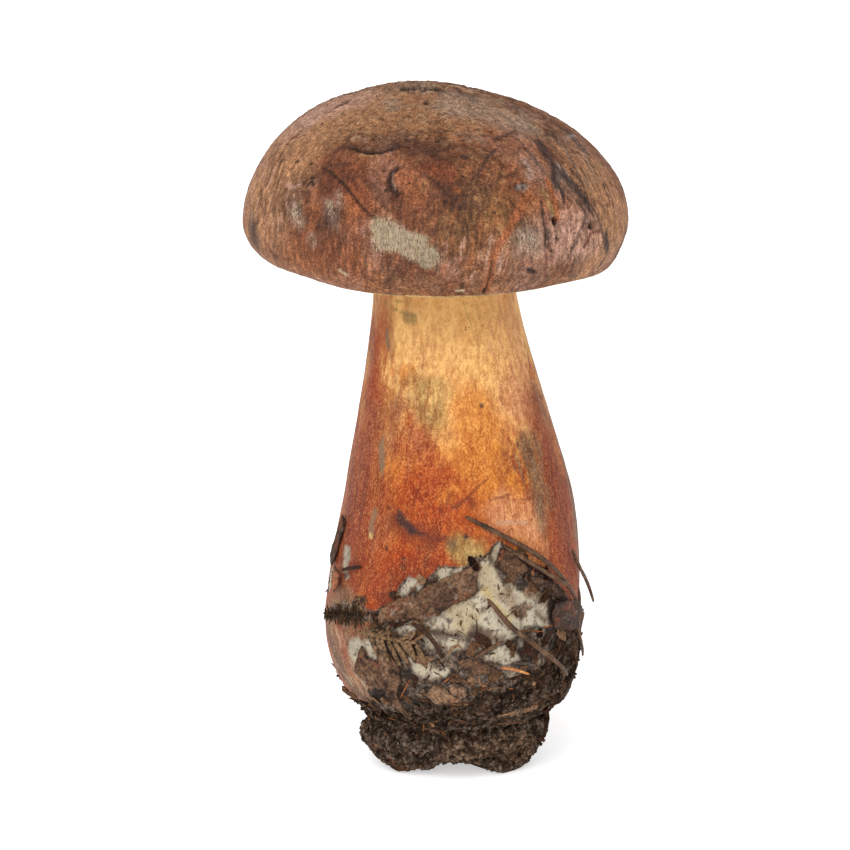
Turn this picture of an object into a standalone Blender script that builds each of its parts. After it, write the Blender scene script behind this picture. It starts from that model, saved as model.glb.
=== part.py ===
"""A bolete mushroom, picked with the leaf litter and the clod of soil that cling to its foot.

A Blender 4.5 script. Units are metres, +Z is up, and the origin lies on the surface that the clod
stands on, under the foot of the stem. A place on the stem is given by its angle round the stem in
degrees (0 at the front, -Y; 90 at the right, +X; 180 at the back), its level above the surface,
and its lift, the distance out from the stem's skin.
"""
from math import atan2, cos, degrees, exp, hypot, pi, radians, sin, sqrt
import random

import bmesh
import bpy
from mathutils import Matrix, Vector, noise
from mathutils.geometry import delaunay_2d_cdt

MM = 0.001
GAP = 0.3 * MM              # kept between pieces that touch

# Cap: a dome over its widest level, rolled in below it to the rim
CAP_RADIUS = 54.6 * MM
CAP_HEIGHT = 39.5 * MM      # from the widest level to the top
CAP_CENTRE = Vector((-3.9 * MM, 0.0, 158.2 * MM))
CAP_TILT = radians(4.0)     # the front rim hangs lower than the back
CAP_LEAN = 5.2 * MM         # the top stands this far left of the middle
DOME_RISE = 2.0 / 1.9       # powers of the dome's rounded profile
DOME_SPREAD = 1.02
ROLL_RADIUS = 14.0 * MM
ROLL_DEPTH = 11.5 * MM      # from the widest level down to the rim
RIM_THICKNESS = 2.4 * MM
RIM_LIFTS = (               # angle, and how many millimetres higher the rim hangs there
    (-180, 0.2), (-120, 0.9), (-78, 2.1), (-50, 2.6), (-25, 0.5), (0, 0.0),
    (22, 0.1), (45, 0.8), (68, 0.2), (100, 0.0), (180, 0.2),
)
RIM_LIFT_START = radians(60)    # how far down the cap the lift begins
CROWN_DIP = 0.55 * MM       # the dome is this much lower round its top
CROWN_DOWN = radians(22)
CROWN_SPREAD = radians(9)
SWELL = 0.7 * MM            # height of the cap's broad, low lumps
SHOULDER = 1.3 * MM         # the cap is this much fuller at its right shoulder
SHOULDER_ANGLE = 92.0
SHOULDER_SPREAD = 55.0

# Tube layer: the spongy layer of pores under the cap
FLESH_PROFILE = ((44.6, -7.8), (42.5, -4.5), (38.0, -0.5), (31.0, 2.6), (23.0, 4.6))
SOCKET_LEVEL = 5.0 * MM     # the cap's flesh over the stem, above the widest level
TUBE_INNER_RADIUS = 21.6 * MM
TUBE_OUTER_RADIUS = 44.1 * MM
PORE_PITCH = 3.9 * MM
PORE_DEPTH = 2.2 * MM
PORE_WALL_SWING = 0.35 * MM

# Stem: a round foot, a swollen bulb and a neck that runs up into the cap
BULB_RADIUS = 36.5 * MM
BULB_LEVEL = 45.0 * MM
FOOT_LEVEL = 11.0 * MM
FOOT_POWER = 2.4            # 2 is an ellipse, more is boxier
NECK_RADIUS = 18.8 * MM
NECK_LEVEL = 160.0 * MM
STEM_TOP_LEVEL = 161.4 * MM
STEM_SWAY = (               # level, and how many millimetres right the stem's middle is there
    (10, 1.3), (30, 0.6), (45, 0.4), (54, 1.1), (66, 1.9), (79, 2.4), (92, 1.8),
    (107, 0.8), (136, -1.4), (165, -3.4),
)

# Soil: a crust up the side of the bulb, and the clod that the mushroom stands on
CRUST_TOP = (               # angle, and the level in millimetres that the crust reaches there
    (-180, 24.0), (-125, 20.5), (-92, 17.2), (-60, 18.0), (-36, 22.5), (-10, 25.6), (3, 26.8),
    (20, 30.0), (40, 37.0), (60, 45.2), (80, 49.0), (105, 43.3), (140, 30.0), (180, 24.0),
)
CUP_GAP = 0.45 * MM         # between the bulb and the soil, whose cup has flat faces
CRUST_EDGE = 0.7 * MM       # thickness at its edge
CRUST_SWELL = 2.9 * MM      # how much thicker it is this far below its edge
CRUST_DEPTH = 28.0 * MM
CLOD_SIZES = (              # angle, belly radius, belly top, foot radius, neck level
    (-180, 24.0, 14.0, 18.0, 18.0),
    (-125, 24.0, 12.5, 17.5, 15.5),
    (-88, 25.4, 11.2, 17.8, 14.8),
    (-45, 24.0, 12.5, 18.0, 15.5),
    (0, 23.0, 15.0, 15.5, 18.0),
    (45, 26.0, 16.2, 19.0, 21.5),
    (90, 28.2, 16.4, 22.0, 23.5),
    (135, 25.5, 15.0, 19.0, 19.0),
    (180, 24.0, 14.0, 18.0, 18.0),
)
FLAT_SPOT = 0.72            # radius of the flat spot under the clod, as part of its foot
CRUMB = 1.1 * MM            # height of the clod's crumbs
CRUMB_PITCH = 4.0 * MM
CRUST_CRUMBS = 0.2          # height of the crust's crumbs, as part of the clod's
NOTCH = (                   # angle, and height in millimetres of the hollow under the clod there
    (-56, 0.0), (-40, 2.4), (-24, 3.2), (-12, 5.4), (20, 4.4), (36, 4.2), (52, 0.0),
)
NOTCH_END = Vector((0.0, 9.0 * MM, 0.0))    # how far in under the clod the hollow runs
NOTCH_FULL = 4.0 * MM       # height from which it runs in as far as that

# Litter that clings to the bulb
LEAF_THICKNESS = 0.7 * MM
BEDDED = 0.36 * MM          # lift of a leaf that lies right on the skin


def named_material(name, colour, roughness):
    """A matt surface; nothing on a mushroom is metallic."""
    material = bpy.data.materials.new(name)
    material.use_nodes = True
    shader = material.node_tree.nodes["Principled BSDF"]
    shader.inputs["Base Color"].default_value = (*colour, 1.0)
    shader.inputs["Roughness"].default_value = roughness
    shader.inputs["Metallic"].default_value = 0.0
    material.diffuse_color = (*colour, 1.0)
    return material


def smooth_value(points, place):
    """Height at a place on a smooth curve through points (place, height), level at both ends."""
    if place <= points[0][0]:
        return points[0][1]
    for index in range(len(points) - 1):
        left, right = points[index], points[index + 1]
        if place > right[0]:
            continue
        before = points[max(index - 1, 0)]
        after = points[min(index + 2, len(points) - 1)]
        span = right[0] - left[0]
        slope_left = (right[1] - before[1]) / (right[0] - before[0]) * span
        slope_right = (after[1] - left[1]) / (after[0] - left[0]) * span
        t = (place - left[0]) / span
        return (
            left[1] * (2 * t**3 - 3 * t**2 + 1)
            + slope_left * (t**3 - 2 * t**2 + t)
            + right[1] * (3 * t**2 - 2 * t**3)
            + slope_right * (t**3 - t**2)
        )
    return points[-1][1]


def around(angle, turn):
    """A direction from the vertical axis, and a height of zero."""
    return Vector((sin(radians(angle)) * turn, -cos(radians(angle)) * turn, 0.0))


def near_angle(angle, middle, spread):
    """1 at an angle, easing off to 0 on both sides of it."""
    away = (angle - middle + 180) % 360 - 180
    return exp(-((away / spread) ** 2))


def finish_mesh(name, mesh, material, crease=50.0):
    """Put a mesh in the scene as one named piece, its faces pointing out."""
    shape = bmesh.new()
    shape.from_mesh(mesh)
    bmesh.ops.recalc_face_normals(shape, faces=shape.faces)
    shape.to_mesh(mesh)
    shape.free()
    mesh.materials.clear()
    mesh.materials.append(material)
    mesh.shade_smooth()
    mesh.set_sharp_from_angle(angle=radians(crease))
    piece = bpy.data.objects.new(name, mesh)
    bpy.context.scene.collection.objects.link(piece)
    return piece


def turned_body(name, rings, material, crease=50.0):
    """A closed body from rings of points; a ring of one point closes an end."""
    mesh = bpy.data.meshes.new(name)
    points = []
    starts = []
    for ring in rings:
        starts.append(len(points))
        points.extend(ring)
    faces = []
    for index in range(len(rings) - 1):
        low, high = rings[index], rings[index + 1]
        first, second = starts[index], starts[index + 1]
        count = max(len(low), len(high))
        for side in range(count):
            near = side
            far = (side + 1) % count
            if len(low) == 1:
                faces.append((first, second + far, second + near))
            elif len(high) == 1:
                faces.append((first + near, first + far, second))
            else:
                faces.append((first + near, first + far, second + far, second + near))
    mesh.from_pydata([tuple(point) for point in points], [], faces)
    return finish_mesh(name, mesh, material, crease)


# Stem

def stem_radius(level):
    """Radius of the stem at a level: a rounded foot, then an easy taper to the neck."""
    if level <= FOOT_LEVEL:
        return 0.0
    if level < BULB_LEVEL:
        down = (BULB_LEVEL - level) / (BULB_LEVEL - FOOT_LEVEL)
        return BULB_RADIUS * (1.0 - down**FOOT_POWER) ** (1.0 / FOOT_POWER)
    up = min((level - BULB_LEVEL) / (NECK_LEVEL - BULB_LEVEL), 1.0)
    return NECK_RADIUS + (BULB_RADIUS - NECK_RADIUS) * (0.5 + 0.5 * cos(pi * up))


def stem_middle(level):
    """How far the stem's middle sways to the right at a level."""
    return smooth_value(STEM_SWAY, level / MM) * MM


def on_stem(angle, level, lift):
    """The point at this angle and level, lifted square off the stem's skin."""
    step = 0.05 * MM
    level = max(level, FOOT_LEVEL + 2 * step)
    slope = (stem_radius(level + step) - stem_radius(level - step)) / (2 * step)
    square = hypot(1.0, slope)
    point = around(angle, stem_radius(level) + lift / square)
    point.x += stem_middle(level)
    point.z = level - lift * slope / square
    return point


def bulb_level(share):
    """Level on the bulb at a share of its round: 0 at the bottom, 1 at its widest, more above."""
    if share > 1.0:
        return BULB_LEVEL + (share - 1.0) * BULB_RADIUS * pi / 2
    return BULB_LEVEL - (BULB_LEVEL - FOOT_LEVEL) * cos(share * pi / 2) ** (2 / FOOT_POWER)


def bulb_share(level):
    """The share of the bulb's round at a level, the inverse of bulb_level."""
    if level > BULB_LEVEL:
        return 1.0 + (level - BULB_LEVEL) / (BULB_RADIUS * pi / 2)
    down = (BULB_LEVEL - level) / (BULB_LEVEL - FOOT_LEVEL)
    return 1.0 - 2 / pi * atan2(down ** (FOOT_POWER / 2), sqrt(max(1.0 - down**FOOT_POWER, 0.0)))


def make_stem():
    sides = 44
    foot_rings = 9
    neck_rings = 15
    levels = [bulb_level(ring / foot_rings) for ring in range(1, foot_rings + 1)]
    climb = STEM_TOP_LEVEL - BULB_LEVEL
    levels += [BULB_LEVEL + climb * ring / neck_rings for ring in range(1, neck_rings + 1)]
    rings = [[Vector((stem_middle(FOOT_LEVEL), 0.0, FOOT_LEVEL))]]
    for level in levels:
        rings.append([on_stem(360 * side / sides, level, 0.0) for side in range(sides)])
    rings.append([Vector((stem_middle(STEM_TOP_LEVEL), 0.0, STEM_TOP_LEVEL))])
    material = named_material("stem_skin", (0.52, 0.16, 0.05), 0.6)
    return turned_body("stem", rings, material)


# Cap and tube layer

def cap_to_world(point):
    """From the cap's own frame, whose origin is the middle of its widest level, to the world."""
    return Matrix.Rotation(CAP_TILT, 4, "X") @ point + CAP_CENTRE


def cap_swell(angle, down):
    """Broad, low lumps and a fuller shoulder, so that the dome isn't a perfect turned shape."""
    turn = radians(angle)
    lumps = sin(3 * turn + 0.8) * sin(2.1 * down) + 0.7 * sin(5 * turn - 1.1) * sin(3.3 * down)
    shoulder = near_angle(angle, SHOULDER_ANGLE, SHOULDER_SPREAD) * sin(3.2 * (down - 0.5))
    return (SWELL * lumps + SHOULDER * shoulder) * sin(min(down, pi / 2))


def rim_lift(angle):
    """How much higher the rim hangs at an angle."""
    return smooth_value(RIM_LIFTS, (angle + 180) % 360 - 180) * MM


def cap_skin_point(angle, down):
    """A point on the cap's skin. down runs from 0 at the top to a right angle at the widest level,
    and on round the roll to the rim."""
    roll_end = pi / 2 + asin_of(ROLL_DEPTH / ROLL_RADIUS)
    lift_share = max((down - RIM_LIFT_START) / (roll_end - RIM_LIFT_START), 0.0)
    if down <= pi / 2:
        height = CAP_HEIGHT * cos(down) ** DOME_RISE
        height -= CROWN_DIP * exp(-(((down - CROWN_DOWN) / CROWN_SPREAD) ** 2))
        radius = CAP_RADIUS * sin(down) ** DOME_SPREAD
    else:
        turn = min(down, roll_end) - pi / 2
        height = -ROLL_RADIUS * sin(turn)
        radius = CAP_RADIUS - ROLL_RADIUS * (1.0 - cos(turn))
    point = around(angle, radius + cap_swell(angle, down) * min(radius / CAP_RADIUS, 1.0))
    point.x -= CAP_LEAN * (max(height, 0.0) / CAP_HEIGHT) ** 2
    point.z = height + rim_lift(angle) * lift_share**2
    return point


def asin_of(ratio):
    return atan2(ratio, sqrt(1.0 - ratio * ratio))


def flesh_height(radius):
    """Height of the underside of the cap's flesh, where the tube layer is attached."""
    profile = sorted((x, z) for x, z in FLESH_PROFILE)
    if radius < profile[0][0] * MM:
        return SOCKET_LEVEL
    return smooth_value(profile, radius / MM) * MM


def make_cap():
    sides = 48
    dome_rings = 13
    roll_rings = 4
    roll_end = pi / 2 + asin_of(ROLL_DEPTH / ROLL_RADIUS)
    downs = [pi / 2 * ring / dome_rings for ring in range(1, dome_rings + 1)]
    downs += [pi / 2 + (roll_end - pi / 2) * ring / roll_rings for ring in range(1, roll_rings + 1)]
    angles = [360 * side / sides for side in range(sides)]
    rings = [[cap_skin_point(0.0, 0.0)]]
    for down in downs:
        rings.append([cap_skin_point(angle, down) for angle in angles])
    rim_radius = CAP_RADIUS - ROLL_RADIUS * (1.0 - cos(roll_end - pi / 2))
    under = [(rim_radius - RIM_THICKNESS * 0.5, -ROLL_DEPTH - RIM_THICKNESS * 0.15, 1.0)]
    under.append((rim_radius - RIM_THICKNESS, -ROLL_DEPTH + RIM_THICKNESS * 0.35, 1.0))
    under += [(x * MM, z * MM, 0.0) for x, z in FLESH_PROFILE]
    under.append((FLESH_PROFILE[-1][0] * MM - 1.2 * MM, SOCKET_LEVEL, 0.0))
    for radius, height, lifted in under:
        rings.append([
            around(angle, radius) + Vector((0, 0, height + lifted * rim_lift(angle)))
            for angle in angles
        ])
    rings.append([Vector((0, 0, SOCKET_LEVEL))])
    world = [[cap_to_world(point) for point in ring] for ring in rings]
    material = named_material("cap_skin", (0.20, 0.11, 0.07), 0.75)
    return turned_body("cap", world, material)


def pore_height(radius):
    """Height of the pore surface: it bulges down, and sinks in round the stem and at the rim."""
    profile = ((21.0, -5.0), (25.0, -8.4), (32.0, -10.3), (39.0, -9.9), (44.5, -8.7))
    return smooth_value(profile, radius / MM) * MM


def pore_points():
    """Points of a three-cornered lattice; each third one is the bottom of a pore."""
    draw = random.Random(31)
    step = PORE_PITCH / sqrt(3)
    reach = int(TUBE_OUTER_RADIUS / step) + 2
    points = []
    for row in range(-2 * reach, 2 * reach + 1):
        for column in range(-2 * reach, 2 * reach + 1):
            x = (column + row / 2) * step
            y = row * step * sqrt(3) / 2
            radius = hypot(x, y)
            if not TUBE_INNER_RADIUS + 0.8 * step < radius < TUBE_OUTER_RADIUS - 0.7 * step:
                continue
            x += draw.uniform(-0.12, 0.12) * step
            y += draw.uniform(-0.12, 0.12) * step
            is_pit = (column - row) % 3 == 0
            depth = PORE_DEPTH if is_pit else draw.uniform(-1, 1) * PORE_WALL_SWING
            points.append((x, y, pore_height(radius) + depth))
    return points


def make_tube_layer():
    sides = 60
    angles = [360 * side / sides for side in range(sides)]
    inner = [around(angle, TUBE_INNER_RADIUS) for angle in angles]
    outer = [around(angle, TUBE_OUTER_RADIUS) for angle in angles]
    for ring, radius in ((inner, TUBE_INNER_RADIUS), (outer, TUBE_OUTER_RADIUS)):
        for point in ring:
            point.z = pore_height(radius)
    field = pore_points()
    points = inner + outer + [Vector(point) for point in field]
    edges = [(side, (side + 1) % sides) for side in range(sides)]
    edges += [(sides + side, sides + (side + 1) % sides) for side in range(sides)]
    flat = [Vector((point.x, point.y)) for point in points]
    found = delaunay_2d_cdt(flat, edges, [], 0, 1e-7)
    sources = found[3]
    shape = bmesh.new()
    verts = [shape.verts.new(points[source[0]]) for source in sources]
    for face in found[2]:
        middle = sum((found[0][corner] for corner in face), Vector((0, 0))) / len(face)
        if TUBE_INNER_RADIUS < middle.length < TUBE_OUTER_RADIUS * cos(pi / sides):
            shape.faces.new([verts[corner] for corner in face])
    loose = [vert for vert in shape.verts if not vert.link_faces]
    bmesh.ops.delete(shape, geom=loose, context="VERTS")
    rims = [edge for edge in shape.edges if edge.is_boundary]
    close_tube_layer(shape, rims)
    for vert in shape.verts:
        vert.co = cap_to_world(vert.co)
    mesh = bpy.data.meshes.new("tube_layer")
    shape.to_mesh(mesh)
    shape.free()
    material = named_material("pore_surface", (0.42, 0.15, 0.04), 0.7)
    return finish_mesh("tube_layer", mesh, material, crease=20.0)


def close_tube_layer(shape, rims):
    """Close the pore surface with walls, and a back that follows the cap's flesh."""
    middle_radius = (TUBE_INNER_RADIUS + TUBE_OUTER_RADIUS) / 2
    sides = []
    for keep_outer in (False, True):
        edges = [e for e in rims if (e.verts[0].co.xy.length > middle_radius) == keep_outer]
        stations = (22.0, 23.5) if not keep_outer else (44.0, 42.0, 38.0, 31.0)
        for station in stations:
            radius = station * MM
            made = bmesh.ops.extrude_edge_only(shape, edges=edges)["geom"]
            edges = [item for item in made if isinstance(item, bmesh.types.BMEdge)]
            edges = [edge for edge in edges if edge.is_boundary]
            for vert in {vert for edge in edges for vert in edge.verts}:
                vert.co.xy = vert.co.xy.normalized() * radius
                vert.co.z = flesh_height(radius) - GAP
        sides.append(edges)
    bmesh.ops.bridge_loops(shape, edges=sides[0] + sides[1])


# Soil

def crust_top(angle):
    """Level that the crust of soil reaches at an angle from -180 to 180."""
    return smooth_value(CRUST_TOP, angle) * MM


def clod_size(angle, column):
    """One of the clod's sizes at an angle, eased between the listed ones."""
    return smooth_value([(row[0], row[column]) for row in CLOD_SIZES], angle) * MM


def crumb(point):
    """Height of the soil's crumbly surface at a point."""
    return CRUMB * noise.noise(point / CRUMB_PITCH) * 2.0


def soil_profile(angle):
    """One half section through the soil: up the bulb, over the crust's edge, down the clod."""
    cup_points = 12
    crust_points = 6
    top = crust_top(angle)
    neck = clod_size(angle, 4)
    profile = []
    for index in range(1, cup_points + 1):
        level = bulb_level(bulb_share(top) * index / cup_points)
        profile.append(on_stem(angle, level, CUP_GAP))
    for index in range(crust_points + 1):
        share = index / crust_points
        level = top + (neck - top) * share
        lift = CUP_GAP + CRUST_EDGE + CRUST_SWELL * ((top - level) / CRUST_DEPTH) ** 2
        point = on_stem(angle, level, lift)
        profile.append(on_stem(angle, level, lift + CRUST_CRUMBS * crumb(point)))
    belly = clod_size(angle, 1)
    belly_top = clod_size(angle, 2)
    foot = clod_size(angle, 3)
    hollow = smooth_value(NOTCH, angle) * MM
    run_in = 0.95 * min(hollow / NOTCH_FULL, 1.0)
    sides = (
        (belly - 0.8 * MM, belly_top),
        (belly, belly_top * 0.75),
        ((belly * 2 + foot) / 3, belly_top * 0.45),
        (foot + 1.2 * MM, belly_top * 0.16 + hollow),
    )
    for radius, level in sides:
        point = around(angle, radius) + Vector((0, 0, level))
        profile.append(around(angle, radius + crumb(point)) + Vector((0, 0, level)))
    profile.append(around(angle, foot) + Vector((0, 0, max(hollow - 0.2 * MM, 0.0))))
    profile.append(around(angle, FLAT_SPOT * foot).lerp(NOTCH_END, run_in))
    return profile


def make_soil():
    sides = 54
    sections = [soil_profile(360 * side / sides - 180) for side in range(sides)]
    rings = [[Vector((stem_middle(FOOT_LEVEL), 0.0, FOOT_LEVEL - CUP_GAP))]]
    for index in range(len(sections[0])):
        rings.append([section[index] for section in sections])
    rings.append([NOTCH_END])
    material = named_material("soil", (0.045, 0.030, 0.020), 0.95)
    return turned_body("soil_clod", rings, material, crease=30.0)


# Litter

def on_patch(place, turn, along, across, lift):
    """A point near a place (angle, level) on the stem, moved along and across a direction that is
    turned up from the stem's girth."""
    angle, level = place
    sideways = along * cos(turn) - across * sin(turn)
    upward = along * sin(turn) + across * cos(turn)
    reach = max(stem_radius(level * MM + upward), BULB_RADIUS / 2)
    return on_stem(angle + degrees(sideways / reach), level * MM + upward, lift)


def half_width(kind, share, side, seed):
    """Half width of a leaf at a share of its length, as part of its widest half."""
    ragged = sin(share * 17 + seed + 2 * side) + 0.6 * sin(share * 31 + 2 * seed - side)
    if kind == "pointed":
        return max(sin(pi * share**0.8), 0.04) ** 0.8 * (1 + 0.07 * ragged)
    blunt = (1 - abs(2 * share - 1) ** 5) ** 0.5
    return max(blunt, 0.25) * (0.86 + 0.13 * ragged)


def make_leaf(name, kind, place, turn, length, width, lifts, seed, material):
    """A dry leaf or a torn piece of one, laid over the bulb with its edges and midrib raised.
    lifts are its lift off the skin at its start and at its end."""
    stations = max(5, round(length / 3.2))
    lanes = 4
    turn = radians(turn)
    front = []
    back = []
    for station in range(stations + 1):
        share = station / stations
        along = (share - 0.5) * length * MM
        lift = lifts[0] + (lifts[1] - lifts[0]) * share
        for lane in range(lanes + 1):
            side = 2 * lane / lanes - 1
            reach = half_width(kind, share, 1 if side > 0 else -1, seed)
            across = side * reach * width / 2 * MM
            curl = 0.35 * MM * side * side * (1 + sin(9 * share + seed)) / 2
            rib = 0.12 * MM if lane == lanes // 2 else 0.0
            back.append(on_patch(place, turn, along, across, lift + curl))
            front.append(on_patch(place, turn, along, across, lift + curl + rib + LEAF_THICKNESS))
    mesh = bpy.data.meshes.new(name)
    mesh.from_pydata([tuple(point) for point in front + back], [], slab_faces(stations, lanes))
    return finish_mesh(name, mesh, material)


def slab_faces(stations, lanes):
    """Faces of a thin plate of two like grids, split into triangles alike, and its edge."""
    row = lanes + 1
    count = row * (stations + 1)
    faces = []
    for station in range(stations):
        for lane in range(lanes):
            a = station * row + lane
            b, c, d = a + 1, a + row + 1, a + row
            for corners in ((a, b, c), (a, c, d)):
                faces.append(corners)
                faces.append(tuple(corner + count for corner in reversed(corners)))
    loop = list(range(row))
    loop += [station * row + lanes for station in range(1, stations + 1)]
    loop += [stations * row + lane for lane in range(lanes - 1, -1, -1)]
    loop += [station * row for station in range(stations - 1, 0, -1)]
    for index, near in enumerate(loop):
        far = loop[(index + 1) % len(loop)]
        faces.append((near, near + count, far + count, far))
    return faces


def route_point(route, share):
    """A point at a share of a route through places (angle, level, lift)."""
    step = [(index / (len(route) - 1)) for index in range(len(route))]
    angle, level, lift = (
        smooth_value([(at, place[column]) for at, place in zip(step, route)], share)
        for column in range(3)
    )
    return on_stem(angle, level * MM, lift * MM)


def strand_rings(points, outs, widths, heights, sides):
    """Rings of a tapered strand along points; outs point away from the stem, and its ends are pointed."""
    rings = []
    for index, point in enumerate(points):
        before = points[max(index - 1, 0)]
        after = points[min(index + 1, len(points) - 1)]
        ahead = (after - before).normalized()
        out = (outs[index] - ahead * outs[index].dot(ahead)).normalized()
        beside = ahead.cross(out)
        if index in (0, len(points) - 1):
            rings.append([point])
            continue
        ring = []
        for side in range(sides):
            turn = 2 * pi * (side + 0.5) / sides
            ring.append(
                point + beside * cos(turn) * widths[index] / 2 + out * sin(turn) * heights[index] / 2
            )
        rings.append(ring)
    return rings


def outward(point):
    """Level direction away from the stem's axis."""
    return Vector((point.x - stem_middle(point.z), point.y, 0.0)).normalized()


def make_strand(name, route, width, height, material, stations=10, sides=6, blunt=0.25):
    """A needle or a twig along a route on the stem; a higher blunt keeps it thick near its ends."""
    shares = [index / stations for index in range(stations + 1)]
    points = [route_point(route, share) for share in shares]
    outs = [outward(point) for point in points]
    taper = [max(1 - abs(2 * share - 1) ** 3, 0.0) ** blunt for share in shares]
    widths = [width * MM * size for size in taper]
    heights = [height * MM * size for size in taper]
    rings = strand_rings(points, outs, widths, heights, sides)
    return turned_body(name, rings, material)


def joined(name, core, blades, material):
    """One body from a core and the blades that are rooted in it."""
    group = bpy.data.collections.new(name + "_blades")
    for blade in blades:
        bpy.context.scene.collection.objects.unlink(blade)
        group.objects.link(blade)
    bpy.context.scene.collection.children.link(group)
    union = core.modifiers.new("join", "BOOLEAN")
    union.operation = "UNION"
    union.operand_type = "COLLECTION"
    union.collection = group
    union.solver = "EXACT"
    union.use_self = True
    graph = bpy.context.evaluated_depsgraph_get()
    mesh = bpy.data.meshes.new_from_object(core.evaluated_get(graph))
    for blade in list(group.objects):
        bpy.data.objects.remove(blade)
    bpy.data.collections.remove(group)
    bpy.data.objects.remove(core)
    return finish_mesh(name, mesh, material)


def make_sprig(name, route, axis_width, blades, material):
    """A sprig lying along a route. Each blade is (share along the route, degrees it leans from the
    sprig's direction, length, width, rise off the skin at its tip)."""
    core = make_strand(name + "_axis", route, axis_width, axis_width, material, 9, 5, 0.12)
    pieces = []
    for number, (share, lean, length, width, rise) in enumerate(blades):
        root = route_point(route, share)
        ahead = (route_point(route, share + 0.02) - root).normalized()
        out = outward(root)
        beside = out.cross(ahead).normalized()
        way = ahead * cos(radians(lean)) + beside * sin(radians(lean))
        points = []
        for step in (0.0, 0.18, 0.6, 1.0):
            drop = (step * length * MM) ** 2 / (2 * BULB_RADIUS)
            points.append(root + way * step * length * MM + out * (rise * MM * step - drop))
        sizes = (0.0, 0.8, 1.0, 0.0)
        widths = [width * MM * size for size in sizes]
        rings = strand_rings(points, [out] * 4, widths, [0.75 * w for w in widths], 4)
        pieces.append(turned_body(f"{name}_blade_{number}", rings, material))
    return joined(name, core, pieces, material)


def make_leaves():
    dry = named_material("dry_leaf", (0.16, 0.095, 0.06), 0.8)
    dark = named_material("dark_leaf", (0.07, 0.045, 0.035), 0.8)
    bark = named_material("bark", (0.10, 0.06, 0.04), 0.9)
    over_edge = 1.9 * MM
    over_skin = 0.9 * MM
    make_leaf("leaf_broad", "torn", (-12, 56.5), 31, 33, 8.8, (BEDDED, BEDDED), 1.0, dry)
    make_leaf("leaf_scrap", "torn", (25, 65.6), -20, 9.5, 8.0, (BEDDED, BEDDED), 2.2, dark)
    make_leaf("leaf_dark", "torn", (43, 57.6), -22, 12.5, 5.0, (BEDDED, BEDDED), 3.1, dark)
    make_leaf("leaf_edge", "torn", (56, 49.0), -6, 12.0, 8.0, (over_edge, over_edge), 4.0, dark)
    make_leaf("leaf_pointed", "pointed", (-41, 35.8), -72, 12.5, 8.5, (BEDDED, BEDDED), 5.3, dry)
    make_leaf("leaf_long", "pointed", (-27.5, 33.0), -71, 20.0, 6.2, (over_skin, over_edge), 6.1, dry)
    make_leaf("leaf_curled", "pointed", (-62.5, 58.3), 80, 9.0, 3.4, (BEDDED, over_edge), 7.4, dry)
    make_leaf("leaf_low", "pointed", (10.5, 35.6), -14, 13.0, 4.4, (BEDDED, BEDDED), 8.2, dark)
    make_leaf("leaf_chip_left", "torn", (-9, 29.6), 12, 9.0, 4.2, (BEDDED, BEDDED), 9.5, dry)
    make_leaf("leaf_chip_right", "torn", (2.6, 30.6), -35, 6.0, 4.0, (BEDDED, BEDDED), 1.7, dry)
    make_leaf("leaf_back_broad", "pointed", (152, 52.0), 24, 34.0, 15.0, (BEDDED, BEDDED), 2.9, dry)
    make_leaf("leaf_back_torn", "torn", (-140, 45.0), -28, 24.0, 12.0, (BEDDED, BEDDED), 3.7, dark)
    make_leaf("leaf_back_low", "torn", (-172, 33.5), 8, 13.0, 8.0, (BEDDED, BEDDED), 4.4, dry)
    make_leaf("bark_sliver", "pointed", (-71.5, 68.5), 82, 14.5, 2.8, (BEDDED, BEDDED), 5.9, bark)


def make_needles():
    pine = named_material("pine_needle", (0.12, 0.065, 0.035), 0.55)
    fresh = named_material("pine_needle_orange", (0.32, 0.14, 0.05), 0.5)
    routes = (
        ("needle_long", ((2.4, 79.8, 1.0), (20, 74, 1.4), (44, 64.6, 1.8), (68.5, 49.8, 2.3)), 1.5),
        ("needle_twin", ((19, 72.0, 1.5), (30, 67.2, 2.3), (44, 61.5, 2.4), (57, 56.6, 3.5)), 1.3),
        ("needle_low", ((13.5, 57.0, 1.2), (25, 48.8, 1.5), (41, 40.6, 2.4), (60, 31.6, 3.3)), 1.6),
        ("needle_short", ((9.4, 40.0, 0.9), (15.8, 42.3, 1.0), (22.3, 44.6, 1.1)), 1.1),
        ("needle_free", ((65.5, 66.5, 0.9), (72, 60.5, 1.5), (82, 54.5, 2.6), (87, 48.0, 4.6)), 1.3),
        ("needle_edge", ((74, 54.6, 0.9), (71, 49.5, 2.0), (70.5, 42, 2.2), (82, 33.5, 2.9)), 1.2),
        ("needle_back_left", ((-165, 66, 0.9), (-150, 60.5, 1.1), (-126, 55.5, 1.2)), 1.4),
        ("needle_back_right", ((112, 66, 0.9), (134, 58, 2.0), (160, 44, 2.1), (172, 38, 2.2)), 1.5),
    )
    for name, route, width in routes:
        make_strand(name, route, width, 0.8 * width, pine)
    glowing = ((20.5, 37.4, 2.0), (28, 36.2, 2.0), (35, 34.6, 2.4))
    make_strand("needle_orange", glowing, 0.9, 0.8, fresh)


def make_twigs():
    bark = named_material("twig_bark", (0.06, 0.035, 0.025), 0.8)
    curved = ((-18, 50.0, 1.3), (-12.5, 48.2, 1.9), (-7.6, 45.0, 1.9), (-4.4, 40.6, 1.4))
    small = ((-59.5, 61.2, 1.9), (-54, 62.4, 1.1), (-48.4, 63.4, 0.8))
    make_strand("twig_curved", curved, 1.3, 1.2, bark)
    make_strand("twig_small", small, 1.1, 1.0, bark, stations=6)


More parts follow.
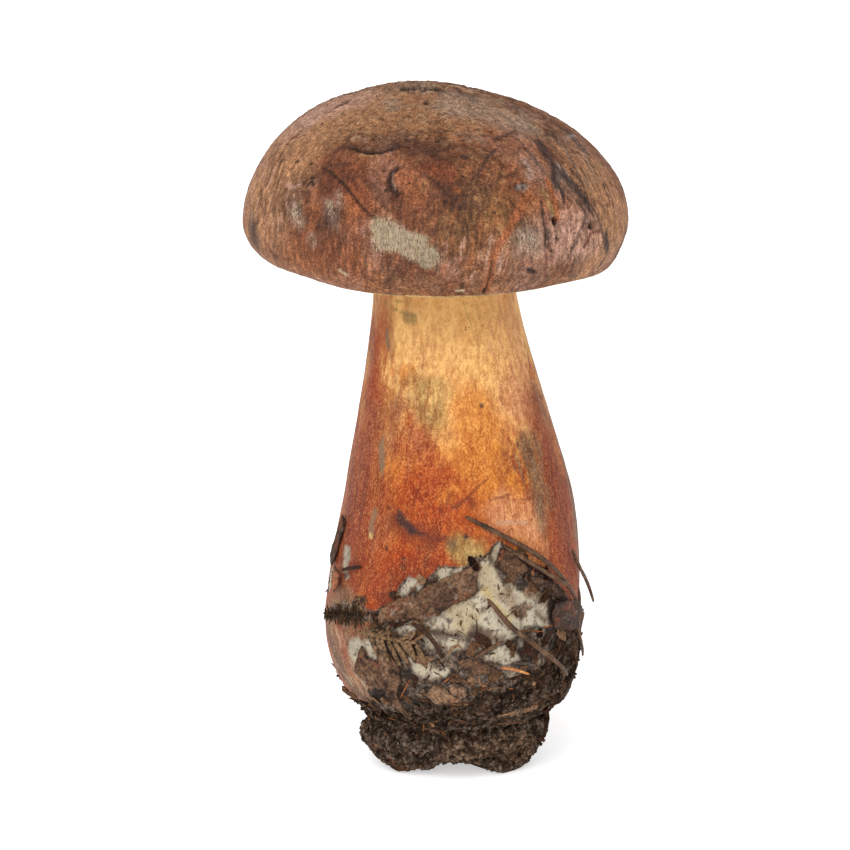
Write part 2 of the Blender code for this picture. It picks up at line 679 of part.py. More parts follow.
def make_spruce_sprig():
    """A dead spruce twig, whose flat needles hang over the pale foot."""
    green = named_material("spruce_needle", (0.075, 0.055, 0.03), 0.6)
    draw = random.Random(7)
    blades = []
    for index in range(8):
        share = 0.46 + 0.52 * index / 7
        blades.append((share, -58 + draw.uniform(-6, 6), draw.uniform(8.2, 10.4), 1.35, 0.9))
    for index in range(6):
        share = 0.30 + 0.62 * index / 5
        blades.append((share, 42 + draw.uniform(-7, 7), draw.uniform(4.2, 5.4), 1.15, 0.9))
    route = ((-43, 45.6, 1.9), (-34, 45.4, 2.2), (-25, 45.0, 2.2), (-14.5, 44.6, 2.0))
    make_sprig("spruce_sprig", route, 1.2, blades, green)


def make_moss_sprig():
    """A dark, tufted strand of moss round the left side of the bulb."""
    moss = named_material("moss", (0.05, 0.038, 0.02), 0.9)
    draw = random.Random(12)
    blades = []
    count = 20
    for index in range(count):
        share = 0.04 + 0.92 * index / (count - 1)
        lean = (62 if index % 2 else -62) + draw.uniform(-14, 14)
        blades.append((share, lean, draw.uniform(2.8, 3.8), 1.25, draw.uniform(0.1, 0.5)))
    route = ((-77, 46.4, 1.0), (-66, 47.6, 1.1), (-54, 48.7, 1.3), (-42.5, 49.6, 1.4))
    make_sprig("moss_sprig", route, 1.3, blades, moss)


def main():
    for old in list(bpy.data.objects):
        bpy.data.objects.remove(old)
    make_cap()
    make_tube_layer()
    make_stem()
    make_soil()
    make_leaves()
    make_needles()
    make_twigs()
    make_spruce_sprig()
    make_moss_sprig()


main()
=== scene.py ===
"""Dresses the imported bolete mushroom: its worn cap, dotted stem, pores, soil and forest litter.

The file is laid out as a Blender add-on and is run as a script. Units are metres and +Z is up, as in
the frame. A place on the stem is given by its angle round the stem in degrees (0 at the front, 90 at
the right), its level above the ground, and its lift off the stem's skin. A mark that the photograph
shows is placed by its pixels there, which are cast through the photograph's camera onto the skin.
"""
import random
from math import asin, cos, degrees, pi, radians, sin, sqrt

import bmesh
import bpy
import numpy as np
from bpy.props import FloatProperty, FloatVectorProperty, IntProperty, PointerProperty
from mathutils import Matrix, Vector
from mathutils.bvhtree import BVHTree
from mathutils.geometry import delaunay_2d_cdt


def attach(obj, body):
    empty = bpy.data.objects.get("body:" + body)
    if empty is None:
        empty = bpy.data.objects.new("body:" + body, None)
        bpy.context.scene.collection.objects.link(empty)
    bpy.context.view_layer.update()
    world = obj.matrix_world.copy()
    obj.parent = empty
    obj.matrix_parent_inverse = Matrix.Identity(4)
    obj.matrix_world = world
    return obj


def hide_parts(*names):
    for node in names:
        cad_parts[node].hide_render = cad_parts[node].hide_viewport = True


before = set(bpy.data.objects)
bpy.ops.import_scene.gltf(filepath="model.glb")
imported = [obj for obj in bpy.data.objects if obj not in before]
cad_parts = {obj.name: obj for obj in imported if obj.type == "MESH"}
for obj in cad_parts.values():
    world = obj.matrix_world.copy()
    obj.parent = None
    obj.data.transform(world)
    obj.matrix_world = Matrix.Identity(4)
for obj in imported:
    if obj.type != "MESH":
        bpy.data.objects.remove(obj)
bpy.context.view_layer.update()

bl_info = {
    "name": "Bolete mushroom",
    "version": (1, 0, 0),
    "blender": (4, 5, 0),
    "location": "View3D > Sidebar > Bolete",
    "description": "Skin, pores, soil and forest litter for a bolete mushroom",
    "category": "Add Mesh",
}

MM = 0.001

# Form of the mushroom, the same as the solids'
CAP_RADIUS = 54.6 * MM
CAP_HEIGHT = 39.5 * MM
CAP_CENTRE = np.array((-3.9, 0.0, 158.2)) * MM
CAP_TILT = radians(4.0)
CAP_LEAN = 5.2 * MM
DOME_RISE = 2.0 / 1.9
DOME_SPREAD = 1.02
ROLL_RADIUS = 14.0 * MM
ROLL_DEPTH = 11.5 * MM
ROLL_END = pi / 2 + asin(ROLL_DEPTH / ROLL_RADIUS)
RIM_THICKNESS = 2.4 * MM
RIM_LIFTS = (               # angle, and how many millimetres higher the rim hangs there
    (-180, 0.2), (-120, 0.9), (-78, 2.1), (-50, 2.6), (-25, 0.5), (0, 0.0),
    (22, 0.1), (45, 0.8), (68, 0.2), (100, 0.0), (180, 0.2),
)
RIM_LIFT_START = radians(60)
CROWN_DIP = 0.55 * MM
CROWN_DOWN = radians(22)
CROWN_SPREAD = radians(9)
SWELL = 0.7 * MM
SHOULDER = 1.3 * MM
SHOULDER_ANGLE = 92.0
SHOULDER_SPREAD = 55.0
FLESH_PROFILE = ((44.6, -7.8), (42.5, -4.5), (38.0, -0.5), (31.0, 2.6), (23.0, 4.6))
SOCKET_LEVEL = 5.0 * MM
TUBE_INNER_RADIUS = 21.6 * MM
TUBE_OUTER_RADIUS = 44.1 * MM
TUBE_GAP = 0.3 * MM
PORE_PROFILE = ((21.0, -5.0), (25.0, -8.4), (32.0, -10.3), (39.0, -9.9), (44.5, -8.7))
BULB_RADIUS = 36.5 * MM
BULB_LEVEL = 45.0 * MM
FOOT_LEVEL = 11.0 * MM
FOOT_POWER = 2.4
NECK_RADIUS = 18.8 * MM
NECK_LEVEL = 160.0 * MM
STEM_TOP_LEVEL = 161.4 * MM
STEM_SWAY = (               # level, and how many millimetres right the stem's middle is there
    (10, 1.3), (30, 0.6), (45, 0.4), (54, 1.1), (66, 1.9), (79, 2.4), (92, 1.8),
    (107, 0.8), (136, -1.4), (165, -3.4),
)
CRUST_TOP = (               # angle, and the level in millimetres that the crust reaches there
    (-180, 24.0), (-125, 20.5), (-92, 17.2), (-60, 18.0), (-36, 22.5), (-10, 25.6), (3, 26.8),
    (20, 30.0), (40, 37.0), (60, 45.2), (80, 49.0), (105, 43.3), (140, 30.0), (180, 24.0),
)
CUP_GAP = 0.45 * MM
CRUST_EDGE = 0.5 * MM
CRUST_SWELL = 2.9 * MM
CRUST_DEPTH = 28.0 * MM
CLOD_SIZES = (              # angle, belly radius, belly top, foot radius, neck level
    (-180, 24.0, 14.0, 18.0, 18.0),
    (-125, 24.0, 12.5, 17.5, 15.5),
    (-88, 25.4, 11.2, 17.8, 14.8),
    (-45, 24.0, 12.5, 18.0, 15.5),
    (0, 23.0, 15.0, 15.5, 18.0),
    (45, 26.0, 16.2, 19.0, 21.5),
    (90, 28.2, 16.4, 22.0, 23.5),
    (135, 25.5, 15.0, 19.0, 19.0),
    (180, 24.0, 14.0, 18.0, 18.0),
)
FLAT_SPOT = 0.72
NOTCH = (                   # angle, and height in millimetres of the hollow under the clod there
    (-56, 0.0), (-40, 2.4), (-24, 3.2), (-12, 5.4), (20, 4.4), (36, 4.2), (52, 0.0),
)
NOTCH_END = np.array((0.0, 9.0, 0.0)) * MM
NOTCH_FULL = 4.0 * MM
BEDDED = 0.36 * MM
OVER_SKIN = 0.9 * MM
OVER_EDGE = 1.9 * MM

# The photograph's camera
PHOTO_SIZE = 850
PHOTO_TARGET = Vector((-7.16, 0.0, 99.7)) * MM
PHOTO_DISTANCE = 1014.6 * MM
PHOTO_ELEVATION = radians(10.0)
LENS = 150.0
SENSOR = 36.0

# The studio's light
SUN_LIGHT = 1.9
SUN_SPREAD = radians(40)
SUN_LEFT = radians(14)
SUN_ELEVATION = radians(36)
HORIZON_LIGHT = 1.02
CEILING_LIGHT = 0.6
FLOOR_GLOW = 0.5

# Small litter
CRUMB_SIZE = 1.3            # in millimetres, as are the places of all marks and noises below
FLAKE_THICKNESS = 0.25 * MM
LEAF_REACH = 4.0 * MM       # how far off the skin a leaf may lie and still cover it
RIBBON_LIFT = 0.15 * MM


def from_photo(red, green, blue):
    """A colour as a screen shows it, from 0 to 255, in Blender's own linear values."""
    shown = [channel / 255 for channel in (red, green, blue)]
    return tuple(c / 12.92 if c <= 0.04045 else ((c + 0.055) / 1.055) ** 2.4 for c in shown)


def colour_property(name, description, shown):
    """A colour, whose default is given as a screen shows it."""
    return FloatVectorProperty(
        name=name, description=description, subtype="COLOR", size=3, min=0, max=1,
        default=from_photo(*shown),
    )


def length_property(name, description, millimetres):
    """A length, whose default is given in millimetres."""
    return FloatProperty(
        name=name, description=description, default=millimetres * MM, min=0.05 * MM, unit="LENGTH",
        precision=5,
    )


class BoleteSizes(bpy.types.PropertyGroup):
    """The sizes and numbers of the mushroom's small parts."""
    pore_pitch: length_property("Pore pitch", "Distance between the pores under the cap", 1.35)
    skin_thickness: length_property(
        "Skin thickness", "How high the skin stands over the bare flesh of the foot", 0.35)
    crumb_size: length_property("Crumb size", "Typical size of a crumb of soil", CRUMB_SIZE)
    leaf_thickness: length_property("Leaf thickness", "Thickness of a dry leaf", 0.4)
    loose_crumbs: IntProperty(
        name="Loose crumbs", description="Number of crumbs that cling to the foot", default=1000)
    flakes: IntProperty(
        name="Flakes", description="Number of small torn flakes of leaf on the foot", default=330)
    cap_fibres: IntProperty(
        name="Cap fibres", description="Number of fine fibres on the rubbed patches", default=900)


class BoletePaints(bpy.types.PropertyGroup):
    """The colours of the mushroom and of what clings to it."""
    brown: colour_property("Cap brown", "Main colour of the cap", (124, 77, 49))
    tan: colour_property("Cap tan", "Paler, rubbed skin of the cap", (166, 122, 86))
    umber: colour_property("Cap umber", "Dark blotches of the cap", (70, 43, 32))
    rust: colour_property("Cap rust", "Reddish blotches of the cap", (118, 62, 37))
    orange: colour_property("Cap orange", "Orange seams of the cap", (148, 88, 54))
    pink: colour_property("Cap pink", "Pinkish, thin skin", (178, 140, 122))
    bruise: colour_property("Bruise", "Blue-grey bruised streaks", (58, 43, 40))
    haze: colour_property("Haze", "Grey-white bloom", (150, 138, 126))
    cream: colour_property("Cream", "Pale fibres where the skin is rubbed off", (172, 154, 126))
    crack: colour_property("Crack", "Inside of cracks and holes", (30, 20, 16))
    straw: colour_property("Stem straw", "Pale yellow top of the stem", (234, 184, 114))
    amber: colour_property("Stem amber", "Yellow-orange of the middle of the stem", (198, 122, 46))
    flame: colour_property("Stem flame", "Saturated orange low on the stem", (160, 62, 17))
    brick: colour_property("Stem brick", "Brick red of the stem's sides", (134, 60, 38))
    blush: colour_property("Stem blush", "Pinkish orange", (206, 146, 104))
    olive: colour_property("Stem olive", "Olive patches", (150, 124, 72))
    taupe: colour_property("Stem taupe", "Grey-brown streaks where the skin is worn", (126, 98, 74))
    wine: colour_property("Stem wine", "Dark red lines", (98, 38, 24))
    ink: colour_property("Stem ink", "Blue-black bruises", (50, 32, 32))
    flesh: colour_property("Flesh", "Bare flesh of the foot", (182, 171, 150))
    butter: colour_property("Butter", "Yellow flesh", (198, 174, 116))
    stain: colour_property("Stain", "Brown stain of the foot", (88, 64, 48))
    soil: colour_property("Soil", "Damp soil", (92, 80, 71))
    grit: colour_property("Grit", "Pale grains in the soil", (122, 101, 82))
    leaf: colour_property("Dry leaf", "Dry leaf", (88, 63, 46))
    rot: colour_property("Dark leaf", "Rotting leaf", (58, 40, 31))
    vein: colour_property("Leaf vein", "Veins and edges of leaves", (120, 92, 70))
    needle: colour_property("Needle", "Dry pine needle", (88, 63, 46))
    amber_needle: colour_property("Orange needle", "Fresh fallen needle", (176, 112, 66))
    spruce: colour_property("Spruce", "Dead spruce needle", (104, 80, 56))
    moss: colour_property("Moss", "Dried moss", (54, 43, 33))
    pore: colour_property("Pore", "Mouths of the pores", (170, 96, 50))
    # Laid darker the deeper a point lies in a pore: painted shade in the pores' depth
    tube: colour_property("Tube", "Inside of the pores", (110, 54, 28))


# Numbers that vary from place to place

def scatter_value(cells, seed):
    """A repeatable number from 0 to 1 for each whole-numbered cell."""
    x, y, z = (cells[..., axis].astype(np.int64) for axis in range(3))
    mixed = (x * 374761393 + y * 668265263 + z * 2147483629 + seed * 40503017) & 0xFFFFFFFF
    mixed = ((mixed ^ (mixed >> 13)) * 1274126177) & 0xFFFFFFFF
    mixed = ((mixed ^ (mixed >> 16)) * 2246822519) & 0xFFFFFFFF
    return ((mixed ^ (mixed >> 15)) & 0xFFFFFF) / 0xFFFFFF


def waver(points, size, seed=0):
    """Smooth noise from -1 to 1, with lumps of about this size; size may differ along each axis."""
    scaled = np.asarray(points, float) / (np.asarray(size, float) * MM)
    base = np.floor(scaled)
    part = scaled - base
    part = part * part * (3 - 2 * part)
    total = np.zeros(len(scaled))
    for corner in range(8):
        offset = np.array(((corner >> 2) & 1, (corner >> 1) & 1, corner & 1))
        share = np.prod(np.where(offset == 1, part, 1 - part), axis=1)
        total += share * scatter_value(base + offset, seed)
    return 2 * total - 1


def rough(points, size, octaves, seed=0, gain=0.55):
    """Noise with finer and finer detail, from about -1 to 1."""
    size = np.asarray(size, float)
    total = np.zeros(len(points))
    height = 1.0
    reach = 0.0
    for octave in range(octaves):
        total += height * waver(points, size / 2.03**octave, seed + 17 * octave)
        reach += height
        height *= gain
    return total / reach * 1.4


def ease(value, low, high):
    """0 below low, 1 above high, and a smooth step between them."""
    share = np.clip((np.asarray(value, float) - low) / (high - low), 0, 1)
    return share * share * (3 - 2 * share)


def smooth_value(points, place):
    """Height at each place on a smooth curve through points (place, height)."""
    place = np.asarray(place, float)
    points = [(float(a), float(b)) for a, b in points]
    total = np.where(place <= points[0][0], points[0][1], points[-1][1])
    for index in range(len(points) - 1):
        left, right = points[index], points[index + 1]
        before = points[max(index - 1, 0)]
        after = points[min(index + 2, len(points) - 1)]
        span = right[0] - left[0]
        slope_left = (right[1] - before[1]) / (right[0] - before[0]) * span
        slope_right = (after[1] - left[1]) / (after[0] - left[0]) * span
        t = (place - left[0]) / span
        curve = (
            left[1] * (2 * t**3 - 3 * t**2 + 1)
            + slope_left * (t**3 - 2 * t**2 + t)
            + right[1] * (3 * t**2 - 2 * t**3)
            + slope_right * (t**3 - t**2)
        )
        total = np.where((place > left[0]) & (place <= right[0]), curve, total)
    return total


# Form

def stem_radius(level):
    """Radius of the stem at a level, of the bulb as well as of the neck."""
    level = np.asarray(level, float)
    down = np.clip((BULB_LEVEL - level) / (BULB_LEVEL - FOOT_LEVEL), 0, 1)
    foot = BULB_RADIUS * (1 - down**FOOT_POWER) ** (1 / FOOT_POWER)
    up = np.clip((level - BULB_LEVEL) / (NECK_LEVEL - BULB_LEVEL), 0, 1)
    neck = NECK_RADIUS + (BULB_RADIUS - NECK_RADIUS) * (0.5 + 0.5 * np.cos(pi * up))
    return np.where(level < BULB_LEVEL, foot, neck)


def stem_middle(level):
    """How far right the stem's middle line lies at a level."""
    return smooth_value(STEM_SWAY, np.asarray(level, float) / MM) * MM


def on_stem(angle, level, lift):
    """Points at these angles and levels, lifted square off the stem's skin."""
    step = 0.05 * MM
    angle, level, lift = np.broadcast_arrays(
        np.asarray(angle, float), np.maximum(np.asarray(level, float), FOOT_LEVEL + 2 * step),
        np.asarray(lift, float))
    slope = (stem_radius(level + step) - stem_radius(level - step)) / (2 * step)
    square = np.hypot(1.0, slope)
    radius = stem_radius(level) + lift / square
    turn = np.radians(angle)
    x = np.sin(turn) * radius + stem_middle(level)
    return np.stack((x, -np.cos(turn) * radius, level - lift * slope / square), axis=-1)


def bulb_level(share):
    """Level on the bulb at a share of its round: 0 at the bottom, 1 at its widest, more above."""
    share = np.asarray(share, float)
    round_level = BULB_LEVEL - (BULB_LEVEL - FOOT_LEVEL) * np.cos(
        np.minimum(share, 1) * pi / 2) ** (2 / FOOT_POWER)
    return np.where(share > 1, BULB_LEVEL + (share - 1) * BULB_RADIUS * pi / 2, round_level)


def bulb_share(level):
    """The share of the round that bulb_level turns into this level."""
    level = np.asarray(level, float)
    down = np.clip((BULB_LEVEL - level) / (BULB_LEVEL - FOOT_LEVEL), 0, 1)
    below = 1 - 2 / pi * np.arctan2(
        down ** (FOOT_POWER / 2), np.sqrt(np.clip(1 - down**FOOT_POWER, 0, 1)))
    return np.where(level > BULB_LEVEL, 1 + (level - BULB_LEVEL) / (BULB_RADIUS * pi / 2), below)


def angle_round(points):
    """Angle of each point round the stem's middle line, in degrees."""
    return np.degrees(np.arctan2(points[:, 0] - stem_middle(points[:, 2]), -points[:, 1]))


def from_middle(points):
    """The way from the stem's middle line out to each point."""
    return points - np.stack((stem_middle(points[:, 2]), 0 * points[:, 1], points[:, 2]), axis=1)


def cap_to_world(points):
    """Points of the cap's own frame, tilted and put on top of the stem."""
    y = points[..., 1] * cos(CAP_TILT) - points[..., 2] * sin(CAP_TILT)
    z = points[..., 1] * sin(CAP_TILT) + points[..., 2] * cos(CAP_TILT)
    return np.stack((points[..., 0], y, z), axis=-1) + CAP_CENTRE


def near_angle(angle, middle, spread):
    """1 at an angle, easing off to 0 on both sides of it."""
    away = (angle - middle + 180) % 360 - 180
    return np.exp(-((away / spread) ** 2))


def rim_lift(angle):
    """How much higher the rim hangs at an angle."""
    return smooth_value(RIM_LIFTS, (angle + 180) % 360 - 180) * MM


def cap_skin(angle, down):
    """The cap's skin, in the cap's own frame. down is 0 at the top, a right angle at the widest
    level and ROLL_END at the rim."""
    angle, down = np.broadcast_arrays(np.asarray(angle, float), np.asarray(down, float))
    dome = np.minimum(down, pi / 2)
    roll = np.clip(down, pi / 2, ROLL_END) - pi / 2
    height = CAP_HEIGHT * np.maximum(np.cos(dome), 0) ** DOME_RISE - ROLL_RADIUS * np.sin(roll)
    height = height - CROWN_DIP * np.exp(-(((down - CROWN_DOWN) / CROWN_SPREAD) ** 2))
    radius = CAP_RADIUS * np.sin(dome) ** DOME_SPREAD - ROLL_RADIUS * (1 - np.cos(roll))
    turn = np.radians(angle)
    lumps = np.sin(3 * turn + 0.8) * np.sin(2.1 * down)
    lumps = lumps + 0.7 * np.sin(5 * turn - 1.1) * np.sin(3.3 * down)
    shoulder = near_angle(angle, SHOULDER_ANGLE, SHOULDER_SPREAD) * np.sin(3.2 * (down - 0.5))
    swell = (SWELL * lumps + SHOULDER * shoulder) * np.sin(dome)
    radius = radius + swell * np.minimum(radius / CAP_RADIUS, 1)
    x = np.sin(turn) * radius - CAP_LEAN * (np.maximum(height, 0) / CAP_HEIGHT) ** 2
    lifted = np.maximum((down - RIM_LIFT_START) / (ROLL_END - RIM_LIFT_START), 0)
    height = height + rim_lift(angle) * lifted**2
    return np.stack((x, -np.cos(turn) * radius, height), axis=-1)


def flesh_height(radius):
    """Height of the flesh's underside at a distance from the cap's middle."""
    inside = radius < FLESH_PROFILE[-1][0] * MM
    return np.where(inside, SOCKET_LEVEL, smooth_value(sorted(FLESH_PROFILE), radius / MM) * MM)


def crust_top(angle):
    """Level of the top of the crust of soil at an angle."""
    return smooth_value(CRUST_TOP, angle) * MM


def clod_size(angle, column):
    """One of the clod's sizes at an angle, by its column in CLOD_SIZES."""
    return smooth_value([(row[0], row[column]) for row in CLOD_SIZES], angle) * MM


# The photograph's camera, for what is placed by its pixels

def camera_axes():
    """The ways back, right and up of the camera that took the photograph."""
    back = Vector((0, -cos(PHOTO_ELEVATION), sin(PHOTO_ELEVATION)))
    return back, Vector((1, 0, 0)), Vector((0, sin(PHOTO_ELEVATION), cos(PHOTO_ELEVATION)))


def cast(tree, pixel):
    """The point of the skin that a pixel of the photograph shows, or the nearest to its ray."""
    back, right, up = camera_axes()
    eye = PHOTO_TARGET + back * PHOTO_DISTANCE
    wide = SENSOR / LENS / PHOTO_SIZE
    across = (pixel[0] - PHOTO_SIZE / 2) * wide
    rise = (PHOTO_SIZE / 2 - pixel[1]) * wide
    ray = (right * across + up * rise - back).normalized()
    hit = tree.ray_cast(eye, ray)[0]
    return hit or tree.find_nearest(eye + ray * PHOTO_DISTANCE)[0]


def cast_route(tree, pixels, step=4.0):
    """A route over the skin through pixels, with a point every few pixels."""
    points = []
    for start, end in zip(pixels[:-1], pixels[1:]):
        count = max(1, round(sqrt((end[0] - start[0]) ** 2 + (end[1] - start[1]) ** 2) / step))
        for index in range(count):
            share = index / count
            pixel = [a + (b - a) * share for a, b in zip(start, end)]
            points.append(cast(tree, pixel))
    points.append(cast(tree, pixels[-1]))
    return np.array([tuple(point) for point in points])


# Meshes

def new_piece(name, mesh, nodes, material, smooth=True):
    """Put a mesh in the scene, riding on the root and standing for its nodes."""
    mesh.materials.append(material)
    if smooth:
        mesh.shade_smooth()
    piece = bpy.data.objects.new(name, mesh)
    bpy.context.scene.collection.objects.link(piece)
    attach(piece, "root")
    if nodes:
        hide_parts(*nodes)
    return piece


def grid_faces(rows, columns):
    """Faces of a closed band of rows, each with this many points round it."""
    near = np.arange(columns)
    far = (near + 1) % columns
    low = np.arange(rows - 1)[:, None] * columns
    faces = np.stack((low + near, low + far, low + columns + far, low + columns + near), axis=-1)
    return faces.reshape(-1, 4)


def fan(pole, ring, flip):
    """Three-cornered faces from a point to a closed ring."""
    far = np.roll(ring, -1)
    faces = np.stack((np.full(len(ring), pole), ring, far), axis=1)
    return faces[:, ::-1] if flip else faces


def closed_part(rings, start, end):
    """Points and faces of a closed form, from rings round an axis and its two end points."""
    count, sides = rings.shape[:2]
    side = np.arange(sides)
    last = (count - 1) * sides
    groups = (
        grid_faces(count, sides), fan(count * sides, side, True),
        fan(count * sides + 1, side + last, False),
    )
    places = np.concatenate((rings.reshape(-1, 3), [start], [end]))
    return places, [face for group in groups for face in group.tolist()]


def joined_mesh(name, parts):
    """One mesh of many parts, each given by its points and its faces."""
    faces = []
    base = 0
    for places, own_faces in parts:
        faces += [[corner + base for corner in face] for face in own_faces]
        base += len(places)
    mesh = bpy.data.meshes.new(name)
    mesh.from_pydata(np.concatenate([part[0] for part in parts]).tolist(), [], faces)
    return mesh


def band_mesh(name, rings, start, end):
    """One mesh of one closed form."""
    return joined_mesh(name, [closed_part(rings, start, end)])


def vertex_values(mesh, name):
    """One row of three numbers for each point of a mesh."""
    values = np.empty(len(mesh.vertices) * 3)
    mesh.vertices.foreach_get(name, values)
    return values.reshape(-1, 3)


def places_of(mesh):
    return vertex_values(mesh, "co")


def outs_of(mesh):
    return vertex_values(mesh, "normal")


def move_to(mesh, places):
    mesh.vertices.foreach_set("co", places.ravel())
    mesh.update()


def paint_mesh(mesh, colours):
    """Store a colour for each point, which the material reads as its ground colour."""
    layer = mesh.color_attributes.new("wash", "FLOAT_COLOR", "POINT")
    full = np.concatenate((np.clip(colours, 0, 1), np.ones((len(colours), 1))), axis=1)
    layer.data.foreach_set("color", full.ravel())


def store_share(mesh, name, shares):
    """Store a number for each point, which the material reads by its name."""
    layer = mesh.attributes.new(name, "FLOAT", "POINT")
    layer.data.foreach_set("value", np.asarray(shares, float))


def skin_tree(mesh):
    """The surface onto which pixels are cast."""
    shape = bmesh.new()
    shape.from_mesh(mesh)
    tree = BVHTree.FromBMesh(shape)
    shape.free()
    return tree


def distance_to(points, route):
    """Distance from each point to a route, and how far along it the nearest place is."""
    best = np.full(len(points), 1e9)
    share = np.zeros(len(points))
    if len(route) == 1:
        return np.linalg.norm(points - route[0], axis=1), share + 0.5
    count = len(route) - 1
    for index in range(count):
        start = route[index]
        along = route[index + 1] - start
        t = np.clip((points - start) @ along / max(along @ along, 1e-12), 0, 1)
        away = np.linalg.norm(points - start - t[:, None] * along, axis=1)
        closer = away < best
        best = np.where(closer, away, best)
        share = np.where(closer, (index + t) / count, share)
    return best, share


# Marks on a skin

EVEN, POINTED = False, True     # whether a mark narrows towards its ends
PATCH_REACH = 3                 # how far round its outline a patch is worked out, in millimetres


class Mark:
    """A line, streak, blotch or hole along pixels of the photograph, or along a route. Its width,
    the softness and raggedness of its edge and its dent into the skin are in millimetres."""

    def __init__(self, paint, width, soft, ragged, strength, dent, pointed, *pixels, route=None):
        self.paint = paint
        self.width = width
        self.soft = soft
        self.ragged = ragged
        self.strength = strength
        self.dent = dent
        self.pointed = pointed
        self.pixels = pixels
        self.route = route


def lines(rows):
    """Marks from rows (paint, width, soft, ragged, strength, dent, pointed, pixels)."""
    return [Mark(*row) for row in rows]


def washes(rows):
    """Flat marks from rows (paint, width, soft, ragged, strength, pixels)."""
    return [Mark(*row[:5], 0, EVEN, *row[5:]) for row in rows]


def photo_outline(tree, pixels):
    """Angles and levels on the stem of an outline given by pixels."""
    points = np.array([tuple(cast(tree, pixel)) for pixel in pixels])
    return np.stack((angle_round(points), points[:, 2] / MM), axis=1)


def inside_outline(flat, outline):
    """Which flat points lie inside a closed outline."""
    inside = np.zeros(len(flat), bool)
    for start, end in zip(outline, np.roll(outline, -1, axis=0)):
        crosses = (start[1] > flat[:, 1]) != (end[1] > flat[:, 1])
        rise = end[1] - start[1] if end[1] != start[1] else 1.0
        at = start[0] + (flat[:, 1] - start[1]) / rise * (end[0] - start[0])
        inside ^= crosses & (flat[:, 0] < at)
    return inside


def patch_cover(points, angle, tree, seed, ragged, soft, strength, *pixels):
    """How strongly a patch inside an outline of pixels covers each point, from 0 to 1."""
    wide = BULB_RADIUS / MM
    outline = photo_outline(tree, pixels)
    outline[:, 0] = np.radians(outline[:, 0]) * wide
    flat = np.stack((np.radians(angle) * wide, points[:, 2] / MM), axis=1)
    near = (flat > outline.min(0) - PATCH_REACH) & (flat < outline.max(0) + PATCH_REACH)
    found = np.flatnonzero(np.all(near, axis=1))
    away, _ = distance_to(flat[found], np.concatenate((outline, outline[:1])))
    away = np.where(inside_outline(flat[found], outline), -away, away)
    away = away + ragged * rough(points[found], 1.9, 4, seed)
    cover = np.zeros(len(points))
    cover[found] = (1 - ease(away, -soft, soft)) * strength
    return cover


def mark_cover(points, tree, item, seed):
    """Which points a mark can reach, and how far it covers each of them, from 0 to 1."""
    route = cast_route(tree, item.pixels) if item.route is None else item.route
    reach = (item.width / 2 + item.soft + 2 * item.ragged) * MM
    near = np.all((points > route.min(0) - reach) & (points < route.max(0) + reach), axis=1)
    found = np.flatnonzero(near)
    if not len(found):
        return found, np.zeros(0)
    away, share = distance_to(points[found], route)
    away = away / MM
    if item.ragged:
        away = away + item.ragged * rough(points[found], max(2.5 * item.ragged, 0.8), 3, seed)
    width = item.width / 2
    if item.pointed:
        width = width * np.maximum(1 - np.abs(2 * share - 1) ** 2.5, 0.15)
    return found, 1 - ease(away, width - item.soft / 2, width + item.soft / 2)


def lay_marks(points, colours, tree, marks, paints, seed):
    """Paint the marks one after another, and give how deep each point is dented and how far it is
    covered."""
    dents = np.zeros(len(points))
    covered = np.zeros(len(points))
    for number, item in enumerate(marks):
        found, cover = mark_cover(points, tree, item, seed + number)
        shown = cover * item.strength
        share = shown[:, None]
        colours[found] = colours[found] * (1 - share) + np.array(getattr(paints, item.paint)) * share
        dents[found] += item.dent * cover
        covered[found] = np.maximum(covered[found], shown)
    return colours, dents * MM, covered


def streaks(bundles, draw):
    """Bundles of fine streaks: each follows a part of its bundle's route, a little aside."""
    marks = []
    for paint, count, spread, strength, *route in bundles:
        at = np.linspace(0, 1, len(route))
        route = np.array(route, float)
        for _ in range(count):
            start = draw.uniform(0, 0.8)
            shares = np.linspace(start, min(start + draw.uniform(0.15, 0.45), 1), 4)
            aside = draw.gauss(0, spread)
            lean = draw.gauss(0, spread / 3)
            x = np.interp(shares, at, route[:, 0]) + aside + lean * (shares - start)
            y = np.interp(shares, at, route[:, 1]) - 0.4 * aside
            marks.append(Mark(paint, draw.uniform(0.5, 1.1), 0.5, 0.3, strength * draw.uniform(0.6, 1.3),
                              0, POINTED, *zip(x, y)))
    return marks


# Paint on a skin

def plain(paint, points):
    """One colour for all the points."""
    return np.tile(np.array(paint), (len(points), 1))


def lay(colours, paint, share):
    """Cover colours with a paint by a share for each point."""
    share = np.clip(share, 0, 1)[:, None]
    return colours * (1 - share) + np.array(paint) * share


def mottle(colours, points, paints, rows):
    """Lay mottles over colours, from rows (paint, strength, size in millimetres, octaves, seed, and
    the noise at which a mottle starts and is full)."""
    for paint, strength, size, octaves, seed, low, high in rows:
        share = strength * ease(rough(points, size, octaves, seed), low, high)
        colours = lay(colours, getattr(paints, paint), share)
    return colours


# Materials

